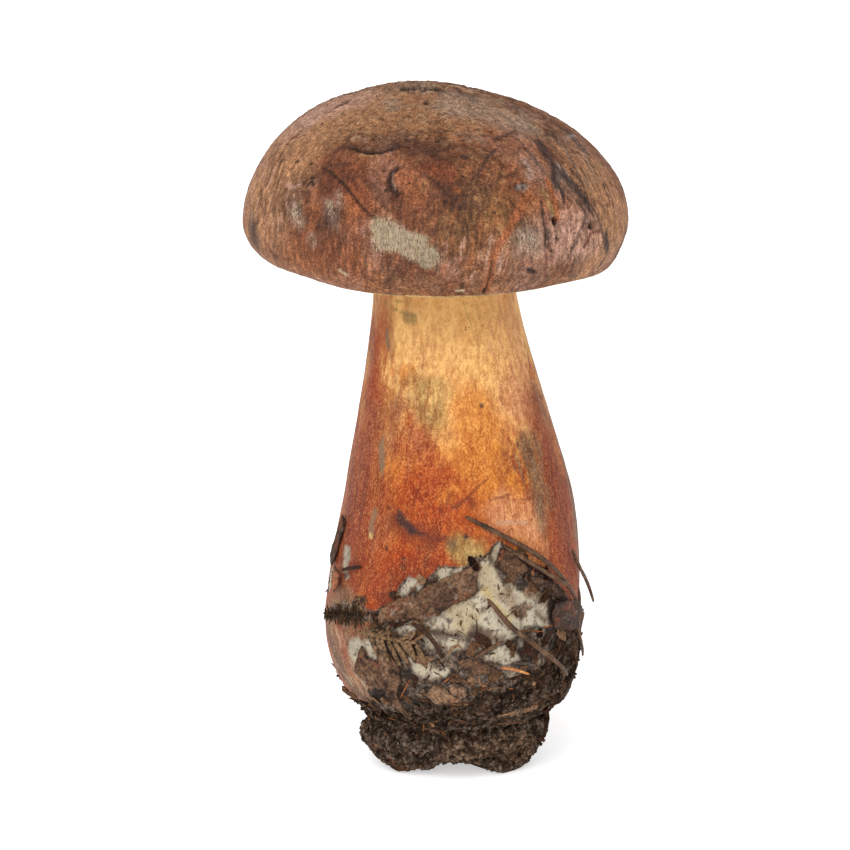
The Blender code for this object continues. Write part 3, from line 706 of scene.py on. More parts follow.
class Shading:
    """A short way to write the nodes of one material."""

    def __init__(self, name, roughness, specular):
        self.material = bpy.data.materials.new(name)
        self.material.use_nodes = True
        self.tree = self.material.node_tree
        self.shader = self.tree.nodes["Principled BSDF"]
        self.shader.inputs["Roughness"].default_value = roughness
        self.shader.inputs["Specular IOR Level"].default_value = specular
        self.place = self.tree.nodes.new("ShaderNodeTexCoord").outputs["Object"]

    def node(self, kind, **inputs):
        made = self.tree.nodes.new("ShaderNode" + kind)
        for name, value in inputs.items():
            self.feed(made.inputs[name.replace("_", " ")], value)
        return made

    def feed(self, socket, value):
        if isinstance(value, bpy.types.NodeSocket):
            self.tree.links.new(value, socket)
        else:
            socket.default_value = value

    def attribute(self, name, output="Fac"):
        made = self.node("Attribute")
        made.attribute_name = name
        return made.outputs[output]

    def scaled(self, size, stretch=(1, 1, 1)):
        """The place on the object, in steps of a size in millimetres."""
        mapping = self.node("Mapping", Vector=self.place)
        mapping.inputs["Scale"].default_value = [1 / (size * MM * part) for part in stretch]
        return mapping.outputs["Vector"]

    def noise(self, size, detail=2.0, stretch=(1, 1, 1), roughness=0.55):
        """Noise with lumps of about this size in millimetres, longer along a stretched axis."""
        made = self.node("TexNoise", Vector=self.scaled(size, stretch), Scale=1.0, Detail=detail)
        made.inputs["Roughness"].default_value = roughness
        return made.outputs["Fac"]

    def specks(self, size, spread):
        """A value that is low in scattered specks: their cells' size, and that of their swarms."""
        made = self.node("TexVoronoi", Vector=self.scaled(size), Scale=1.0)
        return self.add(made.outputs["Distance"], self.noise(spread))

    def between(self, value, low, high, start=0.0, end=1.0):
        """Goes smoothly from start to end while the value goes from low to high."""
        made = self.node("MapRange", Value=value)
        made.interpolation_type = "SMOOTHSTEP"
        for name, number in (("From Min", low), ("From Max", high), ("To Min", start), ("To Max", end)):
            made.inputs[name].default_value = number
        return made.outputs["Result"]

    def add(self, first, second, operation="ADD"):
        made = self.node("Math")
        made.operation = operation
        self.feed(made.inputs[0], first)
        self.feed(made.inputs[1], second)
        return made.outputs["Value"]

    def times(self, first, second):
        return self.add(first, second, "MULTIPLY")

    def mix(self, share, first, second, blend="MIX"):
        """Colours mixed by a share, or the first one multiplied by the second."""
        made = self.node("Mix")
        made.data_type = "RGBA"
        made.blend_type = blend
        self.feed(made.inputs[0], share)
        for socket, value in ((made.inputs[6], first), (made.inputs[7], second)):
            self.feed(socket, value if isinstance(value, bpy.types.NodeSocket) else (*value, 1.0))
        return made.outputs[2]

    def shade(self, colour, noise, low, high, dark, light, share=1.0):
        """A colour darkened where a noise is below low and lightened where it is above high."""
        both = self.mix(self.between(noise, low, high), dark, light)
        return self.mix(share, colour, both, "MULTIPLY")

    def finish(self, colour, height, depth, strength):
        """Set the colour, and a bump whose full height is depth millimetres."""
        self.feed(self.shader.inputs["Base Color"], colour)
        bump = self.node("Bump", Height=height, Strength=strength, Distance=depth * MM)
        self.feed(self.shader.inputs["Normal"], bump.outputs["Normal"])
        return self.material


def cap_material(paints):
    """Matt, grained skin with dark specks: flecked where it is worn, with painted shade in the hollows of
    the flecks' bump and a painted tan highlight on their tops, and pale threads where rubbed.
    """
    look = Shading("cap_skin", 0.65, 0.2)
    worn = look.attribute("worn")
    whole = look.add(1.0, worn, "SUBTRACT")
    grain = look.noise(0.5, 4.0, roughness=0.65)
    colour = look.attribute("wash", "Color")
    colour = look.shade(colour, grain, 0.34, 0.66, (0.55, 0.50, 0.46), (1.42, 1.44, 1.46))
    blot = look.noise(2.0, 4.0, (1, 1, 1.3), 0.6)
    colour = look.shade(colour, blot, 0.36, 0.62, (0.76, 0.72, 0.70), (1.2, 1.2, 1.2))
    streak = look.noise(0.9, 3.0, (1, 1, 6))
    colour = look.shade(colour, streak, 0.36, 0.64, (0.74, 0.70, 0.68), (1.2, 1.2, 1.2), whole)
    fleck = look.noise(0.95, 5.0, (1.9, 1.9, 0.8), 0.68)
    # Painted shade in the hollows of the worn band's fleck bump, and a painted tan highlight on its tops
    dark = look.times(look.between(fleck, 0.36, 0.48, 0.85, 0.0), worn)
    colour = look.mix(dark, colour, (0.36, 0.32, 0.29), "MULTIPLY")
    colour = look.mix(look.times(look.between(fleck, 0.53, 0.66, 0.0, 0.75), worn), colour, paints.tan)
    colour = look.mix(look.between(look.noise(3.2, 4.0), 0.54, 0.72, 0.0, 0.35), colour, paints.umber)
    colour = look.mix(look.between(look.specks(1.9, 7.0), 0.46, 0.54, 0.8, 0.0), colour, paints.crack)
    thread = look.noise(0.3, 2.0, (1, 1, 6))
    bare = look.attribute("fibre")
    pale = look.mix(look.between(thread, 0.30, 0.55), paints.vein, paints.cream)
    kept = look.between(look.add(bare, look.times(thread, 1.6)), 1.12, 1.3)
    colour = look.mix(look.times(kept, look.between(bare, 0.0, 0.25)), colour, pale)
    height = look.add(grain, look.times(fleck, look.times(worn, 3.0)))
    return look.finish(colour, height, 0.35, 0.7)


def stem_material(paints):
    """Skin covered in fine dark-red dots and pale grains, in faint upright fibres; crumbly where
    it is dirty, with painted shade in the crumbs' hollows and painted highlight on their tops, and soiled
    where its flesh is bare."""
    look = Shading("stem_skin", 0.6, 0.18)
    dotted = look.attribute("dotted")
    dirt = look.attribute("dirt")
    flesh = look.attribute("flesh")
    colour = look.attribute("wash", "Color")
    fine = look.noise(0.42, 3.0, (1, 1, 1.6), 0.62)
    patchy = look.between(look.noise(5.0, 3.0, (1, 1, 1.6)), 0.38, 0.62, 0.45, 1.0)
    dots = look.times(look.times(look.between(fine, 0.38, 0.52, 0.72, 0.0), dotted), patchy)
    colour = look.mix(dots, colour, (0.50, 0.26, 0.16), "MULTIPLY")
    colour = look.mix(look.times(look.between(fine, 0.52, 0.64, 0.0, 0.24), dotted), colour, paints.straw)
    blot = look.noise(1.5, 4.0, (1, 1, 1.6), 0.6)
    colour = look.shade(colour, blot, 0.36, 0.62, (0.74, 0.60, 0.52), (1.14, 1.18, 1.2),
                        look.times(dotted, 0.8))
    fibres = look.noise(0.75, 3.0, (1, 1, 10))
    dusk = look.times(look.between(fibres, 0.52, 0.70, 0.0, 0.5), dotted)
    colour = look.mix(dusk, colour, (0.58, 0.38, 0.30), "MULTIPLY")
    specks = look.times(look.between(look.specks(1.6, 6.0), 0.44, 0.51, 0.85, 0.0), dotted)
    colour = look.mix(specks, colour, paints.ink)
    # Painted shade in the hollows of the dirt's crumb bump and painted highlight on its tops, over the
    # dirt's own colour
    crumbs = look.noise(0.9, 5.0, roughness=0.68)
    colour = look.shade(colour, crumbs, 0.38, 0.64, (0.3, 0.28, 0.27), (1.9, 1.85, 1.8), dirt)
    threads = look.between(look.noise(0.4, 3.0, (1, 1, 5)), 0.60, 0.70, 0.0, 0.5)
    colour = look.mix(look.times(threads, flesh), colour, paints.taupe)
    soiled = look.between(look.noise(0.7, 4.0, (1, 1, 1.4), 0.66), 0.37, 0.43, 0.85, 0.0)
    colour = look.mix(look.times(soiled, flesh), colour, paints.stain)
    height = look.add(fine, look.times(fibres, 1.2))
    height = look.add(height, look.times(crumbs, look.times(dirt, 3.0)))
    return look.finish(colour, height, 0.2, 0.6)


def soil_material(paints):
    """Damp crumbly soil with a few pale grains, darkened and lightened with its bump's grain and in
    larger lumps as painted shade and painted highlight.
    """
    look = Shading("soil", 0.9, 0.0)
    grain = look.noise(1.0, 5.0, roughness=0.65)
    colour = look.attribute("wash", "Color")
    # Painted shade where the bump's grain is low and painted highlight where it is high
    colour = look.shade(colour, grain, 0.36, 0.66, (0.34, 0.32, 0.31), (1.85, 1.8, 1.75))
    lumps = look.noise(3.0, 5.0, roughness=0.6)
    # Larger lumps of painted shade and painted highlight
    colour = look.shade(colour, lumps, 0.40, 0.60, (0.42, 0.40, 0.38), (1.3, 1.28, 1.22))
    fine = look.noise(0.45, 3.0)
    colour = look.mix(look.between(fine, 0.62, 0.74, 0.0, 0.55), colour, paints.grit)
    # Painted shade in the low specks of the fine bump
    colour = look.mix(look.between(fine, 0.28, 0.40, 0.6, 0.0), colour, paints.crack)
    return look.finish(colour, look.add(grain, fine), 0.45, 0.8)


def litter_material(name, roughness, grain_size, stretch=(1, 1, 1), contrast=0.3, depth=0.08,
                    specular=0.12):
    """Dry leaf, needle, bark or moss, whose ground colour is painted on its mesh."""
    look = Shading(name, roughness, specular)
    grain = look.noise(grain_size, 4.0, stretch, 0.65)
    dark, light = (1 - contrast,) * 3, (1 + 1.2 * contrast,) * 3
    colour = look.shade(look.attribute("wash", "Color"), grain, 0.36, 0.64, dark, light)
    spots = look.between(look.noise(2.2 * grain_size, 3.0), 0.30, 0.42, 0.7, 0.0)
    return look.finish(look.mix(spots, colour, (0.35, 0.28, 0.25), "MULTIPLY"), grain, depth, 0.6)


# Cap

CAP_COLUMNS = 500
CAP_SKIN_ROWS = 184

CAP_BLOTCHES = (
    # paint, width, soft, ragged, strength, pixels; broad, soft washes first
    ("tan", 26, 14, 3, 0.75, (262, 190), (300, 130), (345, 108)),
    ("pink", 13, 8, 2.5, 0.85, (310, 118), (342, 108)),
    ("tan", 20, 8, 3, 0.55, (350, 115), (420, 112), (490, 112)),
    ("tan", 20, 12, 2, 0.7, (590, 170), (612, 205), (608, 240)),
    ("umber", 8, 7, 3, 0.85, (414, 146), (430, 150), (440, 160)),
    ("rust", 7, 5, 2, 0.8, (434, 168), (442, 178)),
    ("umber", 7, 6, 3, 0.8, (448, 190), (458, 206)),
    ("umber", 8, 9, 3, 0.35, (405, 215), (450, 232), (470, 245)),
    ("umber", 12, 8, 2, 0.7, (330, 188), (334, 210)),
    ("umber", 13, 8, 2.5, 0.85, (322, 238), (336, 254)),
    ("umber", 10, 8, 2.5, 0.55, (290, 202), (298, 228)),
    ("bruise", 6, 4, 1, 0.7, (251, 224), (255, 238)),
    ("orange", 7, 5, 1.5, 0.75, (354, 196), (361, 212)),
    ("orange", 4, 2.5, 0.8, 0.5, (315, 192), (315, 216), (307, 234)),
    ("orange", 4, 2.5, 0.8, 0.5, (350, 221), (355, 236), (352, 254), (356, 272)),
    ("orange", 14, 9, 2.5, 0.35, (300, 252), (345, 272)),
    ("orange", 20, 10, 3, 0.45, (515, 140), (540, 168), (545, 190)),
    ("rust", 18, 10, 3, 0.4, (345, 175), (372, 190), (400, 205)),
    ("orange", 6, 5, 1, 0.5, (402, 172), (410, 200)),
    ("pink", 13, 8, 2.5, 0.65, (562, 236), (588, 236)),
    ("pink", 10, 9, 2.5, 0.25, (505, 258), (530, 254)),
    ("umber", 10, 9, 3, 0.3, (500, 276), (560, 268)),
    ("haze", 8, 6, 2, 0.35, (526, 238), (532, 242)),
    ("umber", 8, 6, 2, 0.5, (518, 222), (522, 232)),
    ("umber", 9, 7, 2, 0.35, (470, 150), (490, 152)),
    ("umber", 9, 7, 2.5, 0.3, (395, 262), (420, 276), (470, 282)),
    ("haze", 5, 5, 2, 0.4, (390, 100), (395, 108)),
    ("haze", 6, 5, 2.5, 0.35, (464, 97), (480, 103)),
    ("bruise", 4, 3, 1, 0.45, (463, 93), (472, 98)),
    ("umber", 4, 5, 2.5, 0.5, (366, 139), (412, 138)),
    ("bruise", 6, 5, 2, 0.5, (556, 136), (566, 146)),
    ("bruise", 4, 3, 1.2, 0.75, (568, 133), (586, 153)),
)
CAP_LINES = (
    # paint, width, soft, ragged, strength, dent, ends, pixels
    ("pink", 14, 9, 3, 0.5, 0, EVEN, (304, 122), (330, 107), (350, 101)),
    ("haze", 11, 10, 3, 0.4, 0, EVEN, (456, 107), (490, 115), (520, 126)),
    ("haze", 9, 9, 3, 0.25, 0, EVEN, (532, 168), (556, 182)),
    ("umber", 9, 9, 3, 0.35, 0, EVEN, (442, 198), (474, 206)),
    ("bruise", 3.4, 1.6, 0.7, 0.85, 0, POINTED, (536, 136), (545, 151), (554, 164)),
    ("bruise", 2.2, 1, 0.4, 0.85, 0.1, POINTED, (552, 162), (564, 175), (573, 186), (585, 200),
     (592, 213)),
    ("bruise", 1.6, 0.9, 0.3, 1, 0, POINTED, (552, 160), (554, 178), (556, 190)),
    ("bruise", 1, 0.6, 0.2, 1, 0, POINTED, (557, 180), (563, 197), (564, 210)),
    ("bruise", 1, 0.6, 0.2, 1, 0.12, POINTED, (541, 196), (543, 218), (546, 231), (545, 246)),
    ("orange", 1.8, 0.9, 0.2, 1, 0.15, EVEN, (548, 180), (553, 196), (556, 209), (557, 219)),
    ("olive", 1.8, 1, 0.4, 0.5, 0, EVEN, (543, 191), (549, 203), (554, 214)),
    ("orange", 2.6, 1.4, 0.3, 0.9, 0, POINTED, (530, 192), (521, 207), (513, 221), (507, 234)),
    ("orange", 2.2, 1.2, 0.3, 0.85, 0.15, EVEN, (509, 230), (497, 247), (493, 260), (490, 274),
     (486, 290)),
    ("crack", 0.6, 0.5, 0.15, 0.8, 0.25, EVEN, (492, 262), (490, 276), (486, 291)),
    ("wine", 0.8, 0.6, 0.2, 0.6, 0, EVEN, (549, 244), (547, 261), (544, 276)),
    ("wine", 0.9, 0.5, 0.25, 0.8, 0.2, EVEN, (599, 231), (591, 233), (588, 240), (584, 247)),
    ("bruise", 1.1, 0.8, 0.3, 0.7, 0, POINTED, (591, 206), (584, 221), (576, 241), (567, 260)),
    ("bruise", 2.2, 1.2, 0.5, 0.9, 0, POINTED, (607, 227), (606, 240), (608, 252)),
    ("bruise", 0.9, 0.7, 0.3, 0.7, 0, EVEN, (598, 217), (604, 244), (607, 254), (598, 267)),
    ("bruise", 0.7, 0.5, 0.15, 0.7, 0, EVEN, (567, 153), (579, 152), (588, 159), (596, 172)),
    ("bruise", 0.7, 0.5, 0.15, 0.7, 0, EVEN, (570, 156), (577, 172), (584, 187), (589, 200)),
    ("bruise", 1.1, 0.6, 0.2, 0.75, 0.2, EVEN, (493, 139), (504, 136), (516, 130)),
    ("bruise", 1.3, 0.8, 0.25, 0.7, 0.2, POINTED, (502, 146), (493, 151), (487, 158), (479, 172),
     (469, 185)),
    ("umber", 1.8, 1.2, 0.4, 0.7, 0.15, EVEN, (430, 178), (443, 188), (452, 198), (459, 208)),
    ("umber", 1.4, 1, 0.4, 0.6, 0.1, EVEN, (463, 192), (479, 208)),
    ("umber", 1.2, 0.9, 0.3, 0.6, 0, EVEN, (503, 178), (516, 172), (523, 166)),
    ("orange", 1.6, 1, 0.3, 0.8, 0, EVEN, (455, 189), (459, 190)),
    ("crack", 0.75, 0.5, 0.12, 0.9, 0.35, EVEN, (323, 167), (334, 175), (344, 184), (354, 197),
     (361, 206), (369, 214), (377, 219)),
    ("umber", 0.8, 0.5, 0.2, 0.7, 0.1, EVEN, (330, 165), (346, 165)),
    ("umber", 2.6, 1.8, 0.5, 0.7, 0, EVEN, (345, 146), (357, 149), (372, 151), (392, 147), (406, 143)),
    ("crack", 0.9, 0.5, 0.15, 0.95, 0.75, POINTED, (347, 146), (357, 150), (369, 153), (381, 152),
     (391, 149), (405, 145)),
    ("tan", 0.7, 0.4, 0.15, 0.8, -0.15, EVEN, (360, 154.5), (370, 156), (380, 155)),
    ("crack", 1.7, 0.6, 0.25, 0.85, 0.8, EVEN, (397, 167), (391, 172), (389, 181), (392, 189),
     (397, 194)),
    ("haze", 0.6, 0.5, 0.2, 0.5, -0.4, EVEN, (393, 171), (392, 180), (395, 188)),
    ("umber", 4, 3, 0.6, 0.5, 0, EVEN, (394, 196), (398, 198)),
    ("umber", 0.8, 0.7, 0.3, 0.45, 0.1, EVEN, (260, 205), (262, 190), (270, 172), (283, 152)),
    ("umber", 1, 0.7, 0.3, 0.5, 0.12, EVEN, (258, 222), (262, 206), (261, 190)),
    ("umber", 0.8, 0.7, 0.4, 0.4, 0.1, EVEN, (266, 186), (278, 160), (292, 138)),
    ("pink", 0.9, 0.5, 0.2, 0.6, -0.12, EVEN, (286, 186), (294, 187), (301, 185)),
    ("bruise", 1, 0.8, 0.4, 0.6, 0, EVEN, (269, 250), (276, 257), (282, 264)),
    ("haze", 2.4, 1.2, 0.4, 0.35, 0, EVEN, (524, 161), (530, 168), (529, 177)),
    ("bruise", 2, 0.6, 0.2, 0.9, 0.5, EVEN, (517, 187), (525, 185)),
    ("haze", 0.8, 0.5, 0.2, 0.6, -0.2, EVEN, (518, 186.5), (525, 185)),
    ("haze", 0.8, 0.5, 0.2, 0.4, 0, EVEN, (516, 189), (523, 190), (529, 186)),
    ("haze", 1.2, 0.6, 0.3, 0.7, 0, EVEN, (568, 137), (574, 135)),
    ("cream", 0.9, 0.5, 0.2, 0.9, 0, EVEN, (340, 270), (347, 275)),
    ("cream", 1, 0.4, 0.1, 1, 0.2, EVEN, (457, 291), (463, 291)),
    ("crack", 0.9, 0.6, 0.2, 0.7, 0.2, EVEN, (463, 284), (462, 289)),
    ("crack", 1, 0.5, 0.1, 0.8, 0.7, EVEN, (484, 293), (485, 290)),
)
CAP_FIBRES = (
    # paint, width, soft, ragged, strength, pixels; where pale fibres show through the rubbed skin
    ("cream", 5.6, 3.4, 1.5, 0.75, (383, 230), (394, 238), (408, 245), (422, 252), (431, 257)),
    ("cream", 2.6, 2.5, 1.2, 0.6, (377, 223), (381, 236)),
    ("cream", 3, 3, 1.4, 0.4, (376, 240), (386, 248)),
    ("haze", 3.6, 4.6, 1.6, 0.36, (293, 209), (297, 216), (300, 223)),
    ("haze", 3, 4.2, 1.6, 0.33, (329, 206), (332, 216), (334, 223)),
    ("haze", 2, 3, 0.8, 0.25, (338, 195), (340, 204)),
    ("haze", 2.6, 3, 0.8, 0.3, (311, 238), (314, 242)),
    ("haze", 4.4, 4.4, 1, 0.3, (524, 236), (533, 243)),
)
CAP_HOLES = (
    # paint, width, soft, ragged, strength, dent, ends, pixels
    ("crack", 6, 0.8, 0.6, 1, 2, POINTED, (401, 91), (409, 88), (418, 86)),
    ("crack", 3.8, 0.7, 0.5, 1, 1.5, POINTED, (424, 91), (434, 88.5), (445, 88)),
    ("crack", 2.6, 0.5, 0.2, 1, 1, POINTED, (423, 103), (430, 103)),
    ("crack", 3, 0.6, 0.3, 1, 1, POINTED, (332, 110), (341, 104.5), (350, 99)),
    ("crack", 1.4, 0.5, 0.3, 1, 0.6, POINTED, (449, 87), (456, 88), (462, 91)),
    ("haze", 0.6, 0.5, 0.1, 0.4, 0, EVEN, (337, 108), (346, 102)),
    ("crack", 2.1, 0.5, 0.15, 1, 1.8, EVEN, (555, 221), (556, 222)),
    ("crack", 1.8, 0.5, 0.2, 1, 1.4, EVEN, (591, 226), (592, 227)),
    ("crack", 0.9, 0.4, 0.15, 1, 0.6, EVEN, (557, 238), (559, 240)),
    ("crack", 0.8, 0.4, 0.1, 1, 0.6, EVEN, (551, 250), (552, 251)),
    ("wine", 1.4, 0.5, 0.1, 1, 0.7, EVEN, (544.5, 129), (545.5, 129)),
    ("crack", 0.9, 0.4, 0.1, 1, 0.5, EVEN, (611, 183), (613, 185)),
    ("crack", 0.7, 0.4, 0.1, 1, 0.4, EVEN, (608, 205), (608, 207)),
    ("bruise", 1.2, 0.5, 0.1, 1, 0.4, EVEN, (462, 156), (467, 157)),
    ("crack", 0.9, 0.5, 0.2, 1, 0.4, EVEN, (436, 141), (438, 141)),
    ("crack", 0.8, 0.5, 0.1, 1, 0.3, EVEN, (444, 202), (446, 202)),
    ("crack", 0.7, 0.4, 0.1, 1, 0.3, EVEN, (490, 132), (491, 132)),
    ("crack", 0.7, 0.4, 0.1, 1, 0.4, EVEN, (297, 161), (298, 161)),
    ("crack", 0.6, 0.4, 0.1, 1, 0.3, EVEN, (311, 164), (312, 164)),
    ("crack", 0.6, 0.4, 0.1, 1, 0.3, EVEN, (287, 144), (288, 144)),
    ("crack", 0.8, 0.5, 0.3, 1, 0.3, EVEN, (307, 185), (310, 182)),
    ("crack", 0.8, 0.5, 0.3, 1, 0.3, EVEN, (312, 181), (313, 185)),
    ("crack", 0.7, 0.4, 0.2, 1, 0.3, EVEN, (311, 177), (313, 178)),
    ("wine", 1.2, 0.6, 0.3, 0.8, 0.3, EVEN, (292, 138), (297, 136)),
    ("crack", 0.8, 0.5, 0.2, 1, 0.3, EVEN, (385, 190), (386, 190)),
    ("bruise", 1.4, 0.6, 0.2, 1, 0.4, EVEN, (529, 270), (534, 272)),
    ("crack", 0.6, 0.3, 0.1, 1, 0.3, EVEN, (389.5, 90), (390, 90.5)),
    ("crack", 0.6, 0.3, 0.1, 1, 0.3, EVEN, (588.5, 159), (589, 159)),
)
CAP_WASHES = (
    # paint, width, soft, ragged, strength, pixels; the broadest parts, as they lie in the photograph
    ("tan", 34, 18, 4, 0.85, (262, 200), (285, 140), (330, 108)),
    ("pink", 15, 9, 3, 0.95, (300, 122), (330, 104), (350, 98)),
    ("haze", 9, 9, 3, 0.6, (352, 100), (410, 88), (470, 92), (530, 116)),
    ("cream", 12, 11, 3, 0.5, (452, 106), (480, 110), (520, 122)),
    ("tan", 22, 13, 3, 0.75, (585, 165), (610, 205), (608, 240)),
    ("pink", 14, 9, 3, 0.5, (550, 240), (588, 234)),
    ("umber", 18, 14, 3, 0.3, (262, 190), (262, 230)),
    ("umber", 18, 12, 4, 0.5, (330, 180), (352, 218), (372, 228)),
    ("umber", 12, 10, 3, 0.5, (292, 196), (304, 234)),
    ("tan", 12, 9, 3, 0.35, (262, 245), (330, 274), (400, 284), (500, 286), (590, 268)),
    ("olive", 16, 12, 4, 0.3, (470, 225), (520, 235)),
)
CAP_BUNDLES = (
    # paint, lines, spread in pixels, strength, route in pixels
    ("bruise", 50, 6, 0.7, (530, 130), (546, 152), (566, 176), (588, 200), (600, 226)),
    ("bruise", 14, 5, 0.65, (553, 165), (552, 190), (546, 225), (544, 252)),
    ("bruise", 18, 8, 0.6, (562, 140), (582, 165), (600, 200), (606, 245)),
    ("haze", 12, 10, 0.45, (556, 134), (574, 156), (590, 190)),
    ("umber", 26, 16, 0.5, (272, 235), (270, 200), (282, 160), (300, 130)),
    ("pink", 16, 18, 0.45, (276, 240), (276, 195), (292, 150)),
    ("orange", 18, 22, 0.5, (325, 190), (330, 230), (335, 275)),
    ("umber", 30, 40, 0.45, (420, 180), (415, 230), (412, 285)),
    ("orange", 22, 40, 0.4, (430, 190), (425, 240), (420, 285)),
    ("umber", 20, 20, 0.45, (495, 150), (478, 190), (465, 230)),
    ("pink", 14, 18, 0.4, (480, 225), (478, 255), (474, 284)),
    ("umber", 14, 14, 0.45, (575, 235), (580, 255), (575, 272)),
    ("umber", 14, 12, 0.5, (345, 168), (372, 196), (398, 222)),
)
WORN_BAND = Mark("tan", 20, 12, 4, 1, 0, EVEN, (330, 118), (380, 122), (430, 122), (500, 126))
CAP_MOTTLES = (
    # paint, strength, size, octaves, seed, the noise where it starts and where it is full
    ("tan", 0.55, 7.0, 4, 1, 0.05, 0.6), ("umber", 0.55, 6.0, 4, 2, 0.0, 0.65),
    ("rust", 0.40, 8.0, 3, 6, 0.1, 0.6), ("pink", 0.35, 9.0, 3, 7, 0.15, 0.6),
    ("orange", 0.45, (2.2, 2.2, 11.0), 3, 8, 0.15, 0.6),
)


def hidden_cap_marks(draw):
    """Blotches, streaks and holes of the same kinds over the side that the photograph hides."""
    marks = []
    kinds = (
        # paint, width, soft, ragged, strength, dent, how many
        ("umber", 12, 8, 3, 0.6, 0, 9), ("tan", 16, 10, 3, 0.6, 0, 7), ("orange", 8, 6, 2, 0.5, 0, 6),
        ("pink", 12, 8, 2.5, 0.6, 0, 5), ("haze", 4, 3, 1, 0.6, 0, 6),
        ("bruise", 1.3, 0.8, 0.3, 0.75, 0.12, 16), ("orange", 2.0, 1.0, 0.3, 0.8, 0.12, 6),
        ("crack", 0.8, 0.5, 0.2, 0.85, 0.35, 8), ("crack", 1.1, 0.5, 0.2, 0.9, 0.8, 14),
    )
    steps = np.linspace(0, 1, 6)
    for paint, width, soft, ragged, strength, dent, count in kinds:
        is_hole = dent >= 0.5
        for _ in range(count):
            angle = draw.uniform(105, 255)
            down = draw.uniform(0.25, ROLL_END - 0.1)
            turn = draw.uniform(-1, 1)
            long = 0.02 if is_hole else draw.uniform(0.05, 0.32)
            route = cap_to_world(cap_skin(angle + steps * turn * degrees(long), down + steps * long))
            marks.append(Mark(paint, width * draw.uniform(0.7, 1.2), soft, ragged, strength, dent,
                              dent > 0 and not is_hole, route=route))
    return marks


def front_heavy(columns, bias=0.3):
    """Angles round an axis, closer together at the front."""
    turn = np.linspace(-pi, pi, columns, endpoint=False)
    return np.degrees(turn - bias * np.sin(turn))


def cap_rows(angles, skin_rows):
    """Rows of points from the middle of the flesh's underside out to the rim and up the skin."""
    turn = np.radians(angles)
    rim = CAP_RADIUS - ROLL_RADIUS * (1 - cos(ROLL_END - pi / 2))
    under = [(FLESH_PROFILE[-1][0] * MM - 1.2 * MM, SOCKET_LEVEL, 0)]
    under += [(x * MM, z * MM, 0) for x, z in reversed(FLESH_PROFILE)]
    under.append((rim - RIM_THICKNESS, -ROLL_DEPTH + RIM_THICKNESS * 0.35, 1))
    under.append((rim - RIM_THICKNESS * 0.5, -ROLL_DEPTH - RIM_THICKNESS * 0.15, 1))
    rows = []
    for radius, height, lifted in under:
        rows.append(np.stack((np.sin(turn) * radius, -np.cos(turn) * radius,
                              height + lifted * rim_lift(angles)), axis=-1))
    for down in np.linspace(ROLL_END, 0, skin_rows + 1)[:-1]:
        rows.append(cap_skin(angles, down))
    return np.array(rows), len(under)


